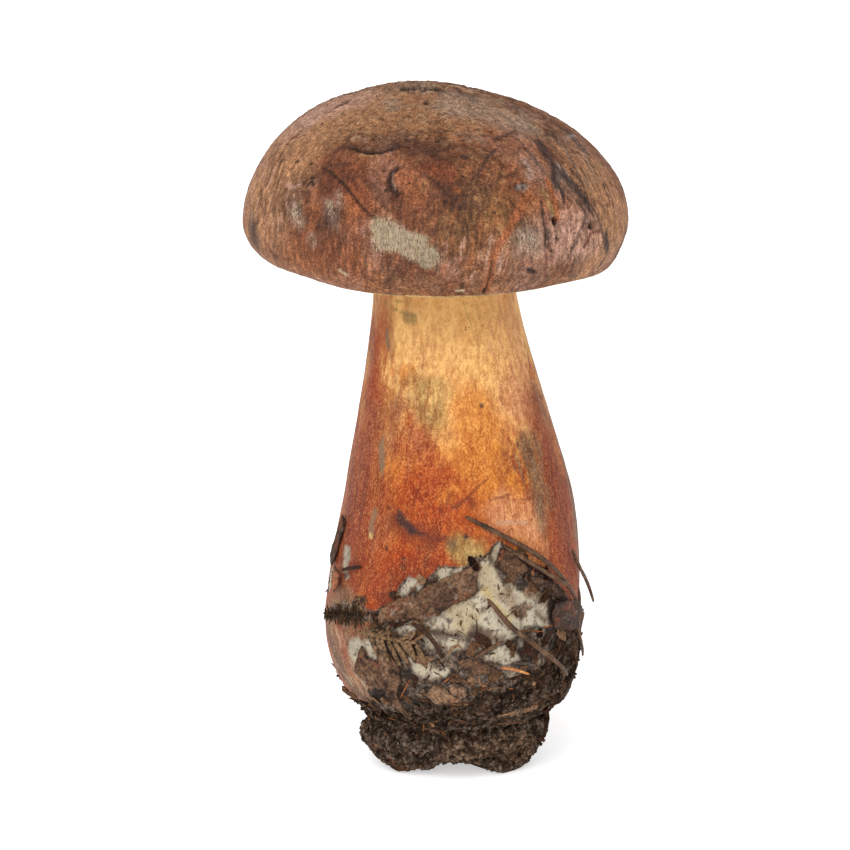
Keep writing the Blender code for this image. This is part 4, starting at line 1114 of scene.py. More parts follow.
class BOLETE_OT_cap(bpy.types.Operator):
    """Make the cap's flesh and its worn, scarred skin"""
    bl_idname = "bolete.cap"
    bl_label = "Cap"

    def execute(self, context):
        paints = context.scene.bolete_paints
        angles = front_heavy(CAP_COLUMNS, 0.42)
        rows, flesh_rows = cap_rows(angles, CAP_SKIN_ROWS)
        middle = cap_to_world(np.array((0.0, 0.0, SOCKET_LEVEL)))
        top = cap_to_world(cap_skin(0.0, 0.0))
        mesh = band_mesh("cap_skin", cap_to_world(rows), middle, top)
        points = places_of(mesh)
        tree = skin_tree(mesh)
        is_skin = np.ones(len(points))
        rim = flesh_rows * len(angles)
        is_skin[:rim] = 0
        is_skin[-2] = 0
        is_skin[rim:rim + 3 * len(angles)] = 0.5
        colours = self.ground(points, tree, paints)
        colours, relief, worn = self.wear(points, colours, tree, paints)
        marks = washes(CAP_BLOTCHES) + hidden_cap_marks(random.Random(5))
        marks += streaks(CAP_BUNDLES, random.Random(9))
        colours, dents, _ = lay_marks(points, colours, tree, marks, paints, 100)
        colours, _, fibres = lay_marks(points, colours, tree, washes(CAP_FIBRES), paints, 380)
        scars = lines(CAP_LINES + CAP_HOLES)
        colours, cuts, scarred = lay_marks(points, colours, tree, scars, paints, 400)
        colours = lay(colours, paints.butter, 1 - is_skin)
        move_to(mesh, points + outs_of(mesh) * ((relief - dents - cuts) * is_skin)[:, None])
        paint_mesh(mesh, colours)
        store_share(mesh, "fibre", fibres * is_skin)
        store_share(mesh, "worn", worn * (1 - scarred) * is_skin)
        new_piece("cap_skin", mesh, ["cap"], cap_material(paints))
        return {"FINISHED"}

    def ground(self, points, tree, paints):
        """The mottled brown that lies under all the marks, and its broad paler and darker parts."""
        colours = plain(paints.brown, points)
        colours, _, _ = lay_marks(points, colours, tree, washes(CAP_WASHES), paints, 40)
        colours = mottle(colours, points, paints, CAP_MOTTLES)
        upright = rough(points, (2.2, 2.2, 11.0), 3, 8)
        return lay(colours, paints.umber, 0.35 * ease(-upright, 0.2, 0.6))

    def wear(self, points, colours, tree, paints):
        """Cream-tan flecks on the ridges of the worn upper part and umber in its hollows: the wear is
        real, and the cream on the ridges is also a painted highlight and the umber a painted shade;
        fainter painted highlight and shade lie over the rest of the skin.
        """
        found, cover = mark_cover(points, tree, WORN_BAND, 77)
        worn = np.zeros(len(points))
        worn[found] = cover
        crown = ease(points[:, 2], CAP_CENTRE[2] + 20 * MM, CAP_CENTRE[2] + 33 * MM)
        worn = np.maximum(worn, 0.8 * crown)
        scales = 1 - 2.4 * np.abs(rough(points, (2.6, 2.6, 1.1), 3, 5))
        flecks = rough(points, (1.9, 1.9, 0.8), 3, 9)
        ridge_highlight = ease(0.5 * scales + 0.8 * flecks, 0.25, 0.9)
        groove_shade = ease(-0.4 * scales - 0.9 * flecks, 0.0, 0.7)
        # Painted highlight on the ridges of the relief and painted shade in its hollows, strong on the
        # worn band and faint elsewhere
        colours = lay(colours, paints.cream, 0.6 * ridge_highlight * worn)
        colours = lay(colours, paints.umber, 0.85 * groove_shade * worn)
        colours = lay(colours, paints.tan, 0.25 * ridge_highlight * (1 - worn))
        colours = lay(colours, paints.umber, 0.3 * groove_shade * (1 - worn))
        low = 0.14 * rough(points, 6.0, 3, 3) + 0.10 * rough(points, 1.8, 3, 4)
        relief = low + worn * (0.30 * scales + 0.38 * flecks) + (1 - worn) * 0.08 * flecks
        return colours, relief * MM, worn


# Tube layer

class BOLETE_OT_tubes(bpy.types.Operator):
    """Make the spongy layer of tubes under the cap, with its pores"""
    bl_idname = "bolete.tubes"
    bl_label = "Tube layer"

    def execute(self, context):
        paints = context.scene.bolete_paints
        pitch = context.scene.bolete_sizes.pore_pitch
        mesh, pits = pore_mesh(pitch)
        points = places_of(mesh)
        colours = plain(paints.pore, points)
        colours = mottle(colours, points, paints, [("amber", 0.8, 9.0, 3, 31, 0.0, 0.7)])
        reach = np.hypot(points[:, 0] - CAP_CENTRE[0], points[:, 1]) / TUBE_OUTER_RADIUS
        colours = lay(colours, paints.straw, 0.7 * ease(reach, 0.75, 1))
        colours = mottle(colours, points, paints, [("ink", 0.6, 7.0, 4, 33, 0.5, 0.9)])
        # Painted shade: darker the deeper a point lies in its pore
        colours = lay(colours, paints.tube, 0.85 * pits)
        paint_mesh(mesh, colours)
        material = litter_material("pore_surface", 0.6, 0.5, contrast=0.15)
        new_piece("tube_layer_pores", mesh, ["tube_layer"], material)
        return {"FINISHED"}


PORE_DEPTH = 1.2 * MM
TUBE_SIDES = 300                # points along each rim of the layer


def pore_height(radius):
    """Level of the pores' mouths in the cap's own frame."""
    return smooth_value(PORE_PROFILE, radius / MM) * MM


def pore_field(pitch):
    """Points of a three-cornered lattice under the cap; each third one is the bottom of a pore."""
    step = pitch / sqrt(3)
    reach = int(TUBE_OUTER_RADIUS / step) + 2
    span = np.arange(-2 * reach, 2 * reach + 1)
    row, column = np.meshgrid(span, span, indexing="ij")
    x = (column + row / 2) * step
    y = row * step * sqrt(3) / 2
    radius = np.hypot(x, y)
    inside = (radius > TUBE_INNER_RADIUS + 0.8 * step) & (radius < TUBE_OUTER_RADIUS - 0.7 * step)
    is_pit = ((column - row) % 3 == 0)[inside]
    flat = np.stack((x[inside], y[inside]), axis=1)
    shift = np.random.default_rng(8).uniform(-0.16, 0.16, flat.shape) * step
    return flat + shift, is_pit


def pore_mesh(pitch):
    """The layer's mesh, and how far into a pore each of its points lies."""
    sides = TUBE_SIDES
    turn = np.linspace(0, 2 * pi, sides, endpoint=False)
    ring = np.stack((np.sin(turn), -np.cos(turn)), axis=1)
    field, is_pit = pore_field(pitch)
    flat = np.concatenate((ring * TUBE_INNER_RADIUS, ring * TUBE_OUTER_RADIUS, field))
    edges = [(side, (side + 1) % sides) for side in range(sides)]
    edges += [(sides + a, sides + b) for a, b in edges]
    made = delaunay_2d_cdt([Vector(point) for point in flat], edges, [], 0, 1e-8)
    places = np.array([tuple(point) for point in made[0]])
    source = np.array([group[0] for group in made[3]])
    pit = np.concatenate((np.zeros(2 * sides), is_pit.astype(float)))[source]
    faces = np.array(made[2])
    middle = np.linalg.norm(places[faces].mean(axis=1), axis=1)
    inner = middle > TUBE_INNER_RADIUS * 1.0001
    outer = middle < TUBE_OUTER_RADIUS * cos(pi / sides)
    faces = faces[inner & outer]
    radius = np.linalg.norm(places, axis=1)
    points = np.concatenate((places, pore_height(radius)[:, None]), axis=1)
    ragged = 0.12 * MM * rough(points, 1.3, 2, 41)
    points[:, 2] += pit * PORE_DEPTH + (1 - pit) * ragged
    shape = bmesh.new()
    depth = shape.verts.layers.float.new("pit")
    verts = [shape.verts.new(point) for point in points]
    for vert, share in zip(verts, pit):
        vert[depth] = share
    for face in faces:
        shape.faces.new([verts[corner] for corner in face])
    bmesh.ops.delete(shape, geom=[v for v in shape.verts if not v.link_faces], context="VERTS")
    widen_pores(shape, depth)
    back_of_tubes(shape)
    bmesh.ops.recalc_face_normals(shape, faces=shape.faces)
    mesh = bpy.data.meshes.new("tube_layer_pores")
    shape.to_mesh(mesh)
    shape.free()
    pits = np.empty(len(mesh.vertices))
    mesh.attributes["pit"].data.foreach_get("value", pits)
    move_to(mesh, cap_to_world(places_of(mesh)))
    return mesh, np.clip(pits * 1.6, 0, 1)


def widen_pores(shape, depth):
    """Cut each slope in two, so that a pore has a thin wall and a wide, deep mouth."""
    spokes = [
        edge for edge in shape.edges
        if (edge.verts[0][depth] > 0.5) != (edge.verts[1][depth] > 0.5)
    ]
    bmesh.ops.subdivide_edges(shape, edges=spokes, cuts=1)
    for vert in shape.verts:
        if 0.3 < vert[depth] < 0.7:
            ends = [edge.other_vert(vert) for edge in vert.link_edges]
            walls = [end for end in ends if end[depth] < 0.3]
            if walls:
                wall = walls[0]
                vert.co = wall.co.lerp(vert.co, 0.55)
                vert.co.z += 0.35 * MM


def back_of_tubes(shape):
    """Close the layer with walls, and a back that follows the cap's flesh."""
    rims = [edge for edge in shape.edges if edge.is_boundary]
    halfway = (TUBE_INNER_RADIUS + TUBE_OUTER_RADIUS) / 2
    ends = []
    for is_outer, stations in ((False, (22.0, 23.5, 30.0)), (True, (44.0, 42.0, 38.0, 31.0))):
        edges = [e for e in rims if (e.verts[0].co.xy.length > halfway) == is_outer]
        for station in stations:
            made = bmesh.ops.extrude_edge_only(shape, edges=edges)["geom"]
            edges = [item for item in made if isinstance(item, bmesh.types.BMEdge) and item.is_boundary]
            for vert in {vert for edge in edges for vert in edge.verts}:
                vert.co.xy = vert.co.xy.normalized() * station * MM
                vert.co.z = float(flesh_height(np.array(station * MM))) - TUBE_GAP
        ends.append(edges)
    bmesh.ops.bridge_loops(shape, edges=ends[0] + ends[1])


# Stem

STEM_WASHES = (
    # paint, width, soft, ragged, strength, pixels
    ("brick", 16, 12, 2.5, 0.8, (375, 420), (362, 470), (350, 540), (345, 600)),
    ("brick", 8, 6, 1.5, 0.8, (372, 330), (374, 370), (370, 410)),
    ("blush", 14, 9, 2, 0.75, (505, 320), (512, 360), (515, 400)),
    ("straw", 14, 9, 2.5, 0.7, (478, 300), (494, 330), (502, 356)),
    ("amber", 12, 9, 3, 0.6, (450, 388), (450, 440)),
    ("flame", 14, 10, 3, 0.5, (408, 430), (402, 480)),
    ("brick", 8, 7, 2.5, 0.6, (388, 500), (386, 545)),
    ("brick", 11, 8, 2, 0.8, (535, 400), (545, 450), (560, 520), (570, 570)),
    ("straw", 20, 14, 4, 0.8, (440, 320), (450, 350), (462, 400)),
    ("amber", 14, 9, 3, 0.8, (470, 410), (480, 450), (475, 490)),
    ("flame", 20, 11, 3, 0.8, (430, 500), (420, 560), (400, 590)),
    ("flame", 14, 9, 3, 0.6, (455, 505), (480, 520)),
    ("amber", 4, 4, 1.5, 0.6, (446, 498), (452, 490)),
    ("olive", 8, 4, 2.4, 0.55, (417, 384), (421, 408)),
    ("olive", 7, 4, 2.4, 0.6, (436, 386), (438, 412)),
    ("olive", 6, 5, 2.2, 0.45, (430, 412), (436, 424)),
    ("taupe", 8, 7, 2.2, 0.3, (395, 400), (392, 440)),
    ("blush", 11, 6, 2, 0.7, (505, 516), (527, 522)),
    ("olive", 8, 4, 2, 0.85, (462, 548), (474, 552)),
    ("butter", 3, 3, 1.8, 0.4, (470, 552), (482, 560)),
    ("wine", 6, 5, 2.6, 0.55, (386, 600), (400, 582), (432, 564)),
    ("brick", 7, 6, 2.4, 0.5, (374, 570), (378, 600)),
    ("wine", 9, 7, 2, 0.3, (352, 450), (346, 500), (338, 560)),
    ("taupe", 5, 4, 1.4, 0.65, (526, 440), (532, 470), (539, 500), (541, 522)),
    ("taupe", 3, 2.5, 1, 0.6, (534, 436), (540, 455)),
    ("brick", 8, 4, 1.6, 0.3, (374, 296), (374, 330), (370, 372)),
    ("flame", 7, 6, 2, 0.5, (382, 300), (380, 340), (374, 390)),
    ("taupe", 1.6, 1.6, 0.6, 0.6, (519, 300), (529, 345), (541, 390), (550, 425)),
    ("taupe", 5, 3.4, 1.6, 0.8, (560, 440), (571, 480), (577, 520), (579, 560)),
    ("stain", 2, 2, 1.2, 0.6, (563, 450), (574, 495), (578, 540)),
    ("brick", 4, 3, 1, 0.5, (552, 420), (548, 470), (556, 520)),
    ("taupe", 3, 2.6, 0.8, 0.5, (533, 385), (545, 418)),
    ("flesh", 8, 6, 2, 0.4, (346, 648), (358, 668)),
)
STEM_LINES = (
    # paint, width, soft, ragged, strength, dent, ends, pixels
    ("taupe", 1.7, 0.5, 0.15, 0.95, 0, POINTED, (388, 326), (387, 338), (390, 352)),
    ("taupe", 2.4, 0.6, 0.25, 0.95, 0, POINTED, (384, 434), (381, 446), (382, 462), (382, 477)),
    ("taupe", 2, 0.6, 0.3, 0.9, 0, EVEN, (375, 512), (372, 522), (371, 533)),
    ("butter", 0.9, 0.5, 0.2, 0.9, 0, EVEN, (370, 534), (371, 538)),
    ("olive", 0.6, 0.4, 0.15, 0.8, 0, EVEN, (384, 302), (391, 306), (399, 311), (404, 313)),
    ("olive", 0.4, 0.3, 0.1, 0.6, 0, EVEN, (395, 300), (410, 303)),
    ("olive", 0.4, 0.3, 0.1, 0.6, 0, EVEN, (398, 301), (396, 312)),
    ("olive", 3, 1.2, 0.5, 0.7, 0, EVEN, (407, 317), (413, 320)),
    ("taupe", 0.4, 0.3, 0.1, 0.6, 0, EVEN, (404, 315), (416, 316)),
    ("taupe", 0.4, 0.3, 0.1, 0.6, 0, EVEN, (404, 320), (416, 321)),
    ("taupe", 0.4, 0.3, 0.1, 0.5, 0, EVEN, (407, 313), (408, 324)),
    ("taupe", 0.4, 0.3, 0.1, 0.5, 0, EVEN, (412, 313), (413, 324)),
    ("olive", 0.5, 0.4, 0.2, 0.45, 0, EVEN, (463, 302), (467, 314), (472, 327)),
    ("ink", 1.2, 0.4, 0.1, 0.8, 0.3, EVEN, (481.5, 405), (482, 406)),
    ("grit", 0.5, 0.3, 0.05, 0.7, 0, EVEN, (481.5, 405), (482, 405)),
    ("wine", 6, 4, 1.4, 0.7, 0, EVEN, (398, 520), (412, 532), (432, 540)),
    ("ink", 2.6, 1.4, 0.7, 0.9, 0, EVEN, (400, 517), (403, 523), (411, 530)),
    ("ink", 1.3, 0.8, 0.4, 0.85, 0, POINTED, (409, 529), (418, 533), (427, 536)),
    ("wine", 1.4, 0.9, 0.4, 0.8, 0, EVEN, (424, 535), (437, 539), (446, 538)),
    ("ink", 0.9, 0.5, 0.2, 0.9, 0, EVEN, (399, 511), (400, 512)),
    ("ink", 0.8, 0.5, 0.2, 0.8, 0, EVEN, (388, 507), (389, 508)),
    ("wine", 1.6, 1, 0.5, 0.7, 0, EVEN, (452, 508), (460, 504)),
    ("wine", 0.7, 0.5, 0.2, 0.75, 0.08, POINTED, (454, 508), (464, 501), (476, 489), (494, 473)),
    ("wine", 2.6, 2.2, 0.6, 0.6, 0, EVEN, (470, 500), (473, 505)),
    ("wine", 0.7, 0.5, 0.2, 0.8, 0, POINTED, (488, 501), (502, 497), (513, 493)),
    ("wine", 0.6, 0.4, 0.2, 0.6, 0, POINTED, (519, 501), (533, 498)),
    ("haze", 0.8, 0.5, 0.2, 0.5, 0, EVEN, (497, 523), (513, 522), (527, 523)),
    ("ink", 1.2, 0.5, 0.2, 1, 0.2, EVEN, (465, 536), (466, 537)),
    ("stain", 2.6, 1.6, 0.6, 0.7, 0, EVEN, (452, 543), (453, 546)),
    ("wine", 2.2, 1.5, 0.5, 0.6, 0, EVEN, (353, 566), (356, 560)),
    ("wine", 4, 3, 0.8, 0.6, 0, EVEN, (385, 596), (392, 600)),
    ("ink", 1.2, 0.8, 0.3, 0.6, 0, EVEN, (402, 565), (404, 568)),
    ("ink", 0.9, 0.5, 0.2, 0.8, 0, EVEN, (386, 548), (387, 549)),
    ("ink", 0.9, 0.5, 0.2, 0.8, 0, EVEN, (403, 558), (404, 559)),
    ("wine", 0.7, 0.6, 0.3, 0.5, 0, EVEN, (385, 560), (392, 575), (390, 590)),
)
STEM_BUNDLES = (
    # paint, lines, spread in pixels, strength, route in pixels
    ("stain", 30, 6, 0.5, (520, 432), (530, 470), (540, 522)),
    ("taupe", 26, 7, 0.6, (522, 436), (534, 470), (543, 522)),
    ("stain", 14, 3, 0.5, (558, 440), (570, 490), (577, 556)),
    ("wine", 26, 12, 0.4, (376, 420), (362, 480), (350, 560)),
    ("wine", 22, 10, 0.4, (545, 400), (556, 470), (566, 560)),
    ("flame", 26, 7, 0.5, (386, 300), (380, 350), (374, 410)),
    ("brick", 18, 7, 0.4, (520, 310), (532, 360), (546, 410)),
    ("blush", 26, 9, 0.5, (498, 310), (508, 350), (520, 400)),
    ("straw", 20, 16, 0.35, (440, 310), (445, 360), (450, 410)),
    ("brick", 30, 30, 0.35, (420, 350), (415, 420), (405, 480)),
    ("wine", 26, 30, 0.35, (430, 470), (420, 520), (405, 590)),
    ("brick", 34, 12, 0.55, (338, 610), (346, 650), (364, 692)),
    ("wine", 12, 10, 0.45, (336, 615), (344, 650), (360, 690)),
    ("flesh", 16, 10, 0.5, (336, 630), (348, 660), (368, 694)),
    ("stain", 30, 10, 0.5, (334, 640), (344, 668), (362, 696)),
)

# Foot: the skin is torn away below a line, and dirt lies there with islands of bare flesh

TORN_EDGE = (               # the line, in pixels
    (372, 613), (380, 607), (393, 600), (399, 586), (408, 577), (424, 579), (437, 567), (452, 567),
    (464, 565), (478, 556), (490, 550), (497, 540), (503, 541), (505, 552), (523, 556), (530, 568),
    (545, 572), (556, 582), (566, 596), (572, 606), (580, 610),
)
TORN_BEHIND = (             # its angle and level in millimetres, round the side that isn't seen
    (-180, 49), (-160, 55), (-140, 47), (-120, 38), (-100, 30), (-80, 24), (-58, 22), (-43, 24),
    (98, 50), (115, 57), (135, 50), (155, 56),
)
BARE_FLESH = (
    # ragged, soft, strength, outline in pixels
    (0.55, 0.35, 1, (400, 597), (403, 585), (408, 579), (415, 578), (422, 583), (428, 586), (425, 592),
     (420, 594), (412, 590), (407, 594)),
    (0.55, 0.35, 1, (437, 570), (444, 566), (452, 570), (462, 568), (455, 577), (445, 580), (438, 583)),
    (0.55, 0.6, 1, (480, 562), (487, 558), (493, 563), (497, 575), (503, 583), (512, 584), (520, 590),
     (527, 597), (540, 592), (548, 597), (546, 606), (547, 618), (548, 626), (540, 632), (530, 628),
     (520, 632), (508, 640), (498, 646), (488, 640), (478, 634), (468, 640), (458, 634), (445, 628),
     (430, 632), (424, 622), (440, 612), (455, 604), (470, 600), (479, 592), (479, 575)),
    (0.55, 0.35, 1, (494, 562), (491, 555), (495, 545), (500, 541), (502, 555)),
    (0.4, 0.35, 1, (394, 634), (400, 625), (412, 622), (419, 628), (414, 635), (404, 637)),
    (0.55, 0.35, 1, (418, 634), (440, 634), (455, 640), (470, 641), (462, 650), (447, 652), (430, 648),
     (420, 642)),
    (0.55, 0.35, 1, (402, 662), (412, 652), (425, 660), (440, 670), (447, 667), (453, 671), (444, 677),
     (430, 679), (418, 674), (408, 668)),
    (0.55, 0.35, 1, (484, 658), (492, 652), (500, 646), (506, 645), (508, 650), (520, 655), (517, 660),
     (510, 664), (503, 665), (497, 661)),
    (0.3, 0.35, 1, (480, 671), (486, 667), (495, 670), (490, 677), (482, 678)),
    (0.55, 0.35, 0.8, (518, 640), (530, 640), (531, 647), (519, 647)),
    (0.55, 0.35, 0.5, (535, 661), (548, 657), (560, 664), (556, 673), (543, 675)),
    (0.55, 0.35, 0.6, (504, 672), (512, 669), (519, 674), (512, 680)),
    (0.55, 0.35, 0.6, (522, 706), (532, 704), (538, 708), (528, 713)),
    (0.55, 0.35, 0.9, (348, 640), (358, 638), (365, 646), (364, 657), (356, 668), (348, 656)),
    (0.55, 0.35, 1, (363, 640), (374, 640), (382, 650), (378, 661), (370, 657), (365, 648)),
    (0.4, 0.35, 0.8, (344, 545), (350, 547), (350, 560), (346, 568), (350, 578), (345, 580), (342, 566)),
)
FOOT_PATCHES = (
    # paint, lift in millimetres, ragged, soft, strength, outline in pixels
    ("stain", 0.25, 1, 0.35, 0.9, (511, 611), (517, 605), (525, 603), (535, 607), (528, 612), (530, 618),
     (520, 620)),
    ("vein", 0.2, 0.7, 0.35, 0.6, (523, 590), (530, 585), (541, 587), (546, 592), (536, 598), (527, 598)),
    ("crack", 0, 0.4, 0.35, 0.6, (516, 583), (521, 583), (522, 591), (517, 591)),
    ("rot", 0.25, 0.6, 0.35, 1, (420, 590), (426, 580), (437, 577), (438, 588), (428, 592)),
    ("rot", 0.25, 0.4, 0.35, 1, (408, 597), (410, 587), (416, 588), (417, 597)),
    ("crack", 0.3, 0.8, 0.35, 1, (368, 690), (376, 687), (387, 690), (386, 701), (374, 704)),
    ("rot", 0, 0.8, 0.8, 0.6, (536, 575), (550, 578), (566, 598), (570, 640), (553, 640), (549, 615),
     (546, 592)),
    ("soil", 0.2, 1.2, 0.35, 1, (330, 607), (345, 600), (362, 603), (374, 612), (374, 623), (350, 621),
     (331, 618)),
    ("rot", 0.2, 0.6, 0.35, 1, (352, 603), (356, 596), (366, 595), (369, 602), (362, 606)),
    ("crack", 0, 0.4, 0.35, 0.85, (524, 626), (546, 626), (561, 633), (560, 637), (544, 630), (525, 629)),
)
FOOT_STAINS = (
    # paint, width, soft, ragged, strength, pixels; on the bare flesh
    ("butter", 1.8, 1.6, 0.4, 0.7, (486, 592), (500, 610), (510, 620)),
    ("olive", 7, 5, 1.5, 0.4, (455, 608), (465, 620), (462, 630)),
    ("olive", 5, 4, 1.2, 0.4, (487, 572), (492, 588)),
    ("haze", 5, 3, 1.2, 0.4, (408, 586), (422, 584)),
    ("haze", 5, 2, 2.5, 0.45, (520, 600), (536, 606)),
    ("taupe", 3, 1.4, 2.2, 0.5, (502, 596), (512, 600)),
    ("stain", 3.4, 1.6, 2.6, 0.85, (476, 630), (488, 634)),
    ("ink", 3, 1.6, 0.7, 0.95, (472, 637), (476, 641)),
    ("stain", 1.8, 1, 1.6, 0.7, (490, 640), (503, 640)),
    ("soil", 1.6, 1, 0.9, 0.85, (430, 628), (438, 634), (446, 640)),
    ("soil", 1, 0.8, 0.7, 0.7, (436, 612), (449, 622)),
    ("stain", 1.6, 1.2, 0.7, 0.6, (500, 576), (508, 588)),
    ("stain", 1.4, 1, 0.7, 0.8, (537, 612), (546, 622)),
    ("ink", 0.8, 0.5, 0.2, 0.8, (448, 620), (449, 622)),
    ("stain", 1.4, 1, 0.7, 0.8, (437, 645), (447, 650)),
    ("stain", 1.2, 0.8, 0.5, 0.7, (415, 640), (428, 636)),
)
LEFT_FOOT = (
    # paint, width, soft, ragged, strength, pixels; the rosy, rubbed skin low on the left
    ("taupe", 24, 7, 2.5, 0.95, (340, 632), (352, 655), (372, 690)),
    ("stain", 6, 5, 2.4, 0.7, (329, 640), (337, 664), (352, 686)),
    ("haze", 3, 3, 1.6, 0.4, (340, 636), (346, 652), (352, 664)),
    ("blush", 5, 5, 2, 0.3, (333, 622), (345, 650), (352, 678)),
    ("brick", 3, 2.5, 1.6, 0.7, (338, 622), (342, 640), (346, 655)),
    ("brick", 2, 2, 1.4, 0.6, (356, 622), (362, 632)),
    ("flesh", 1, 0.8, 0.5, 0.6, (333, 658), (342, 672), (352, 684)),
    ("flesh", 1, 0.8, 0.5, 0.6, (342, 656), (350, 668), (360, 680)),
    ("stain", 3, 2, 1.2, 0.7, (336, 668), (350, 688), (372, 702)),
    ("taupe", 2.6, 1.5, 0.8, 0.75, (338, 520), (335, 545), (333, 575)),
)


def hidden_stem_marks(draw):
    """Streaks, bruises and bare patches of the same kinds round the hidden side of the stem."""
    marks = []
    kinds = (
        # paint, width, soft, ragged, strength, dent, how many, length in millimetres
        ("taupe", 3.0, 2.2, 1.0, 0.6, 0, 12, 18), ("olive", 8.0, 6.0, 2.0, 0.6, 0, 3, 6),
        ("straw", 10.0, 8.0, 2.5, 0.5, 0, 4, 20), ("wine", 0.8, 0.6, 0.2, 0.7, 0.05, 8, 9),
        ("ink", 2.0, 1.2, 0.6, 0.8, 0, 6, 4), ("blush", 9.0, 6.0, 2.0, 0.6, 0, 5, 12),
    )
    steps = np.linspace(0, 1, 6)
    for paint, width, soft, ragged, strength, dent, count, long in kinds:
        for _ in range(count):
            angle = draw.uniform(95, 265)
            level = draw.uniform(58, 145)
            sway = draw.uniform(-8, 8)
            route = on_stem(angle + steps * sway, (level + steps * long) * MM, 0.0)
            marks.append(Mark(paint, width * draw.uniform(0.7, 1.2), soft, ragged, strength, dent,
                              POINTED, route=route))
    return marks


def hidden_flesh(draw):
    """Islands of bare flesh among the dirt on the hidden side of the foot."""
    marks = []
    steps = np.linspace(0, 1, 5)
    for _ in range(18):
        angle = draw.uniform(100, 290)
        level = draw.uniform(28, 54)
        width = draw.uniform(2.5, 6.0)
        angles = angle + steps * draw.uniform(-14, 14)
        route = on_stem(angles, (level + steps * draw.uniform(-6, 6)) * MM, 0.0)
        marks.append(Mark("flesh", width, 0.5, 1.1, 1, 0, EVEN, route=route))
    return marks


STEM_COLUMNS = 340
STEM_ROWS = 288

# paint, strength, size, octaves, seed, the noise where it starts and where it is full
STEM_MOTTLES = (
    ("blush", 0.45, (5, 5, 24), 3, 63, 0.15, 0.7), ("wine", 0.35, (2.4, 2.4, 9), 4, 66, 0.3, 0.8),
    ("taupe", 0.4, (3, 3, 24), 3, 64, 0.35, 0.8),
)
FLESH_MOTTLES = (
    ("butter", 0.12, 6.0, 3, 71, 0.0, 0.7), ("olive", 0.35, 4.0, 3, 72, 0.1, 0.7),
    ("stain", 0.8, 2.2, 4, 73, 0.2, 0.65), ("haze", 0.5, 1.4, 3, 79, 0.1, 0.7),
    ("soil", 0.9, 1.1, 3, 74, 0.42, 0.7),
)
# Mottles of the dirt; the dark crack mottle is partly dark dirt and partly painted shade under the litter
# that lies on it
DIRT_AND_SHADE_MOTTLES = (
    ("leaf", 0.6, 3.2, 4, 75, 0.0, 0.6), ("crack", 0.85, 2.4, 4, 76, -0.1, 0.4),
    ("vein", 0.6, 1.6, 3, 77, 0.4, 0.8), ("taupe", 0.5, 1.0, 2, 78, 0.5, 0.8),
)


def stem_levels(rows):
    """Levels of the stem's rows, from under the bulb to the top, about evenly spaced on the skin."""
    share = np.linspace(0.02, 1.0, rows // 3)
    below = bulb_level(share)
    above = np.linspace(BULB_LEVEL, STEM_TOP_LEVEL, rows - len(below) + 1)[1:]
    return np.concatenate((below, above))


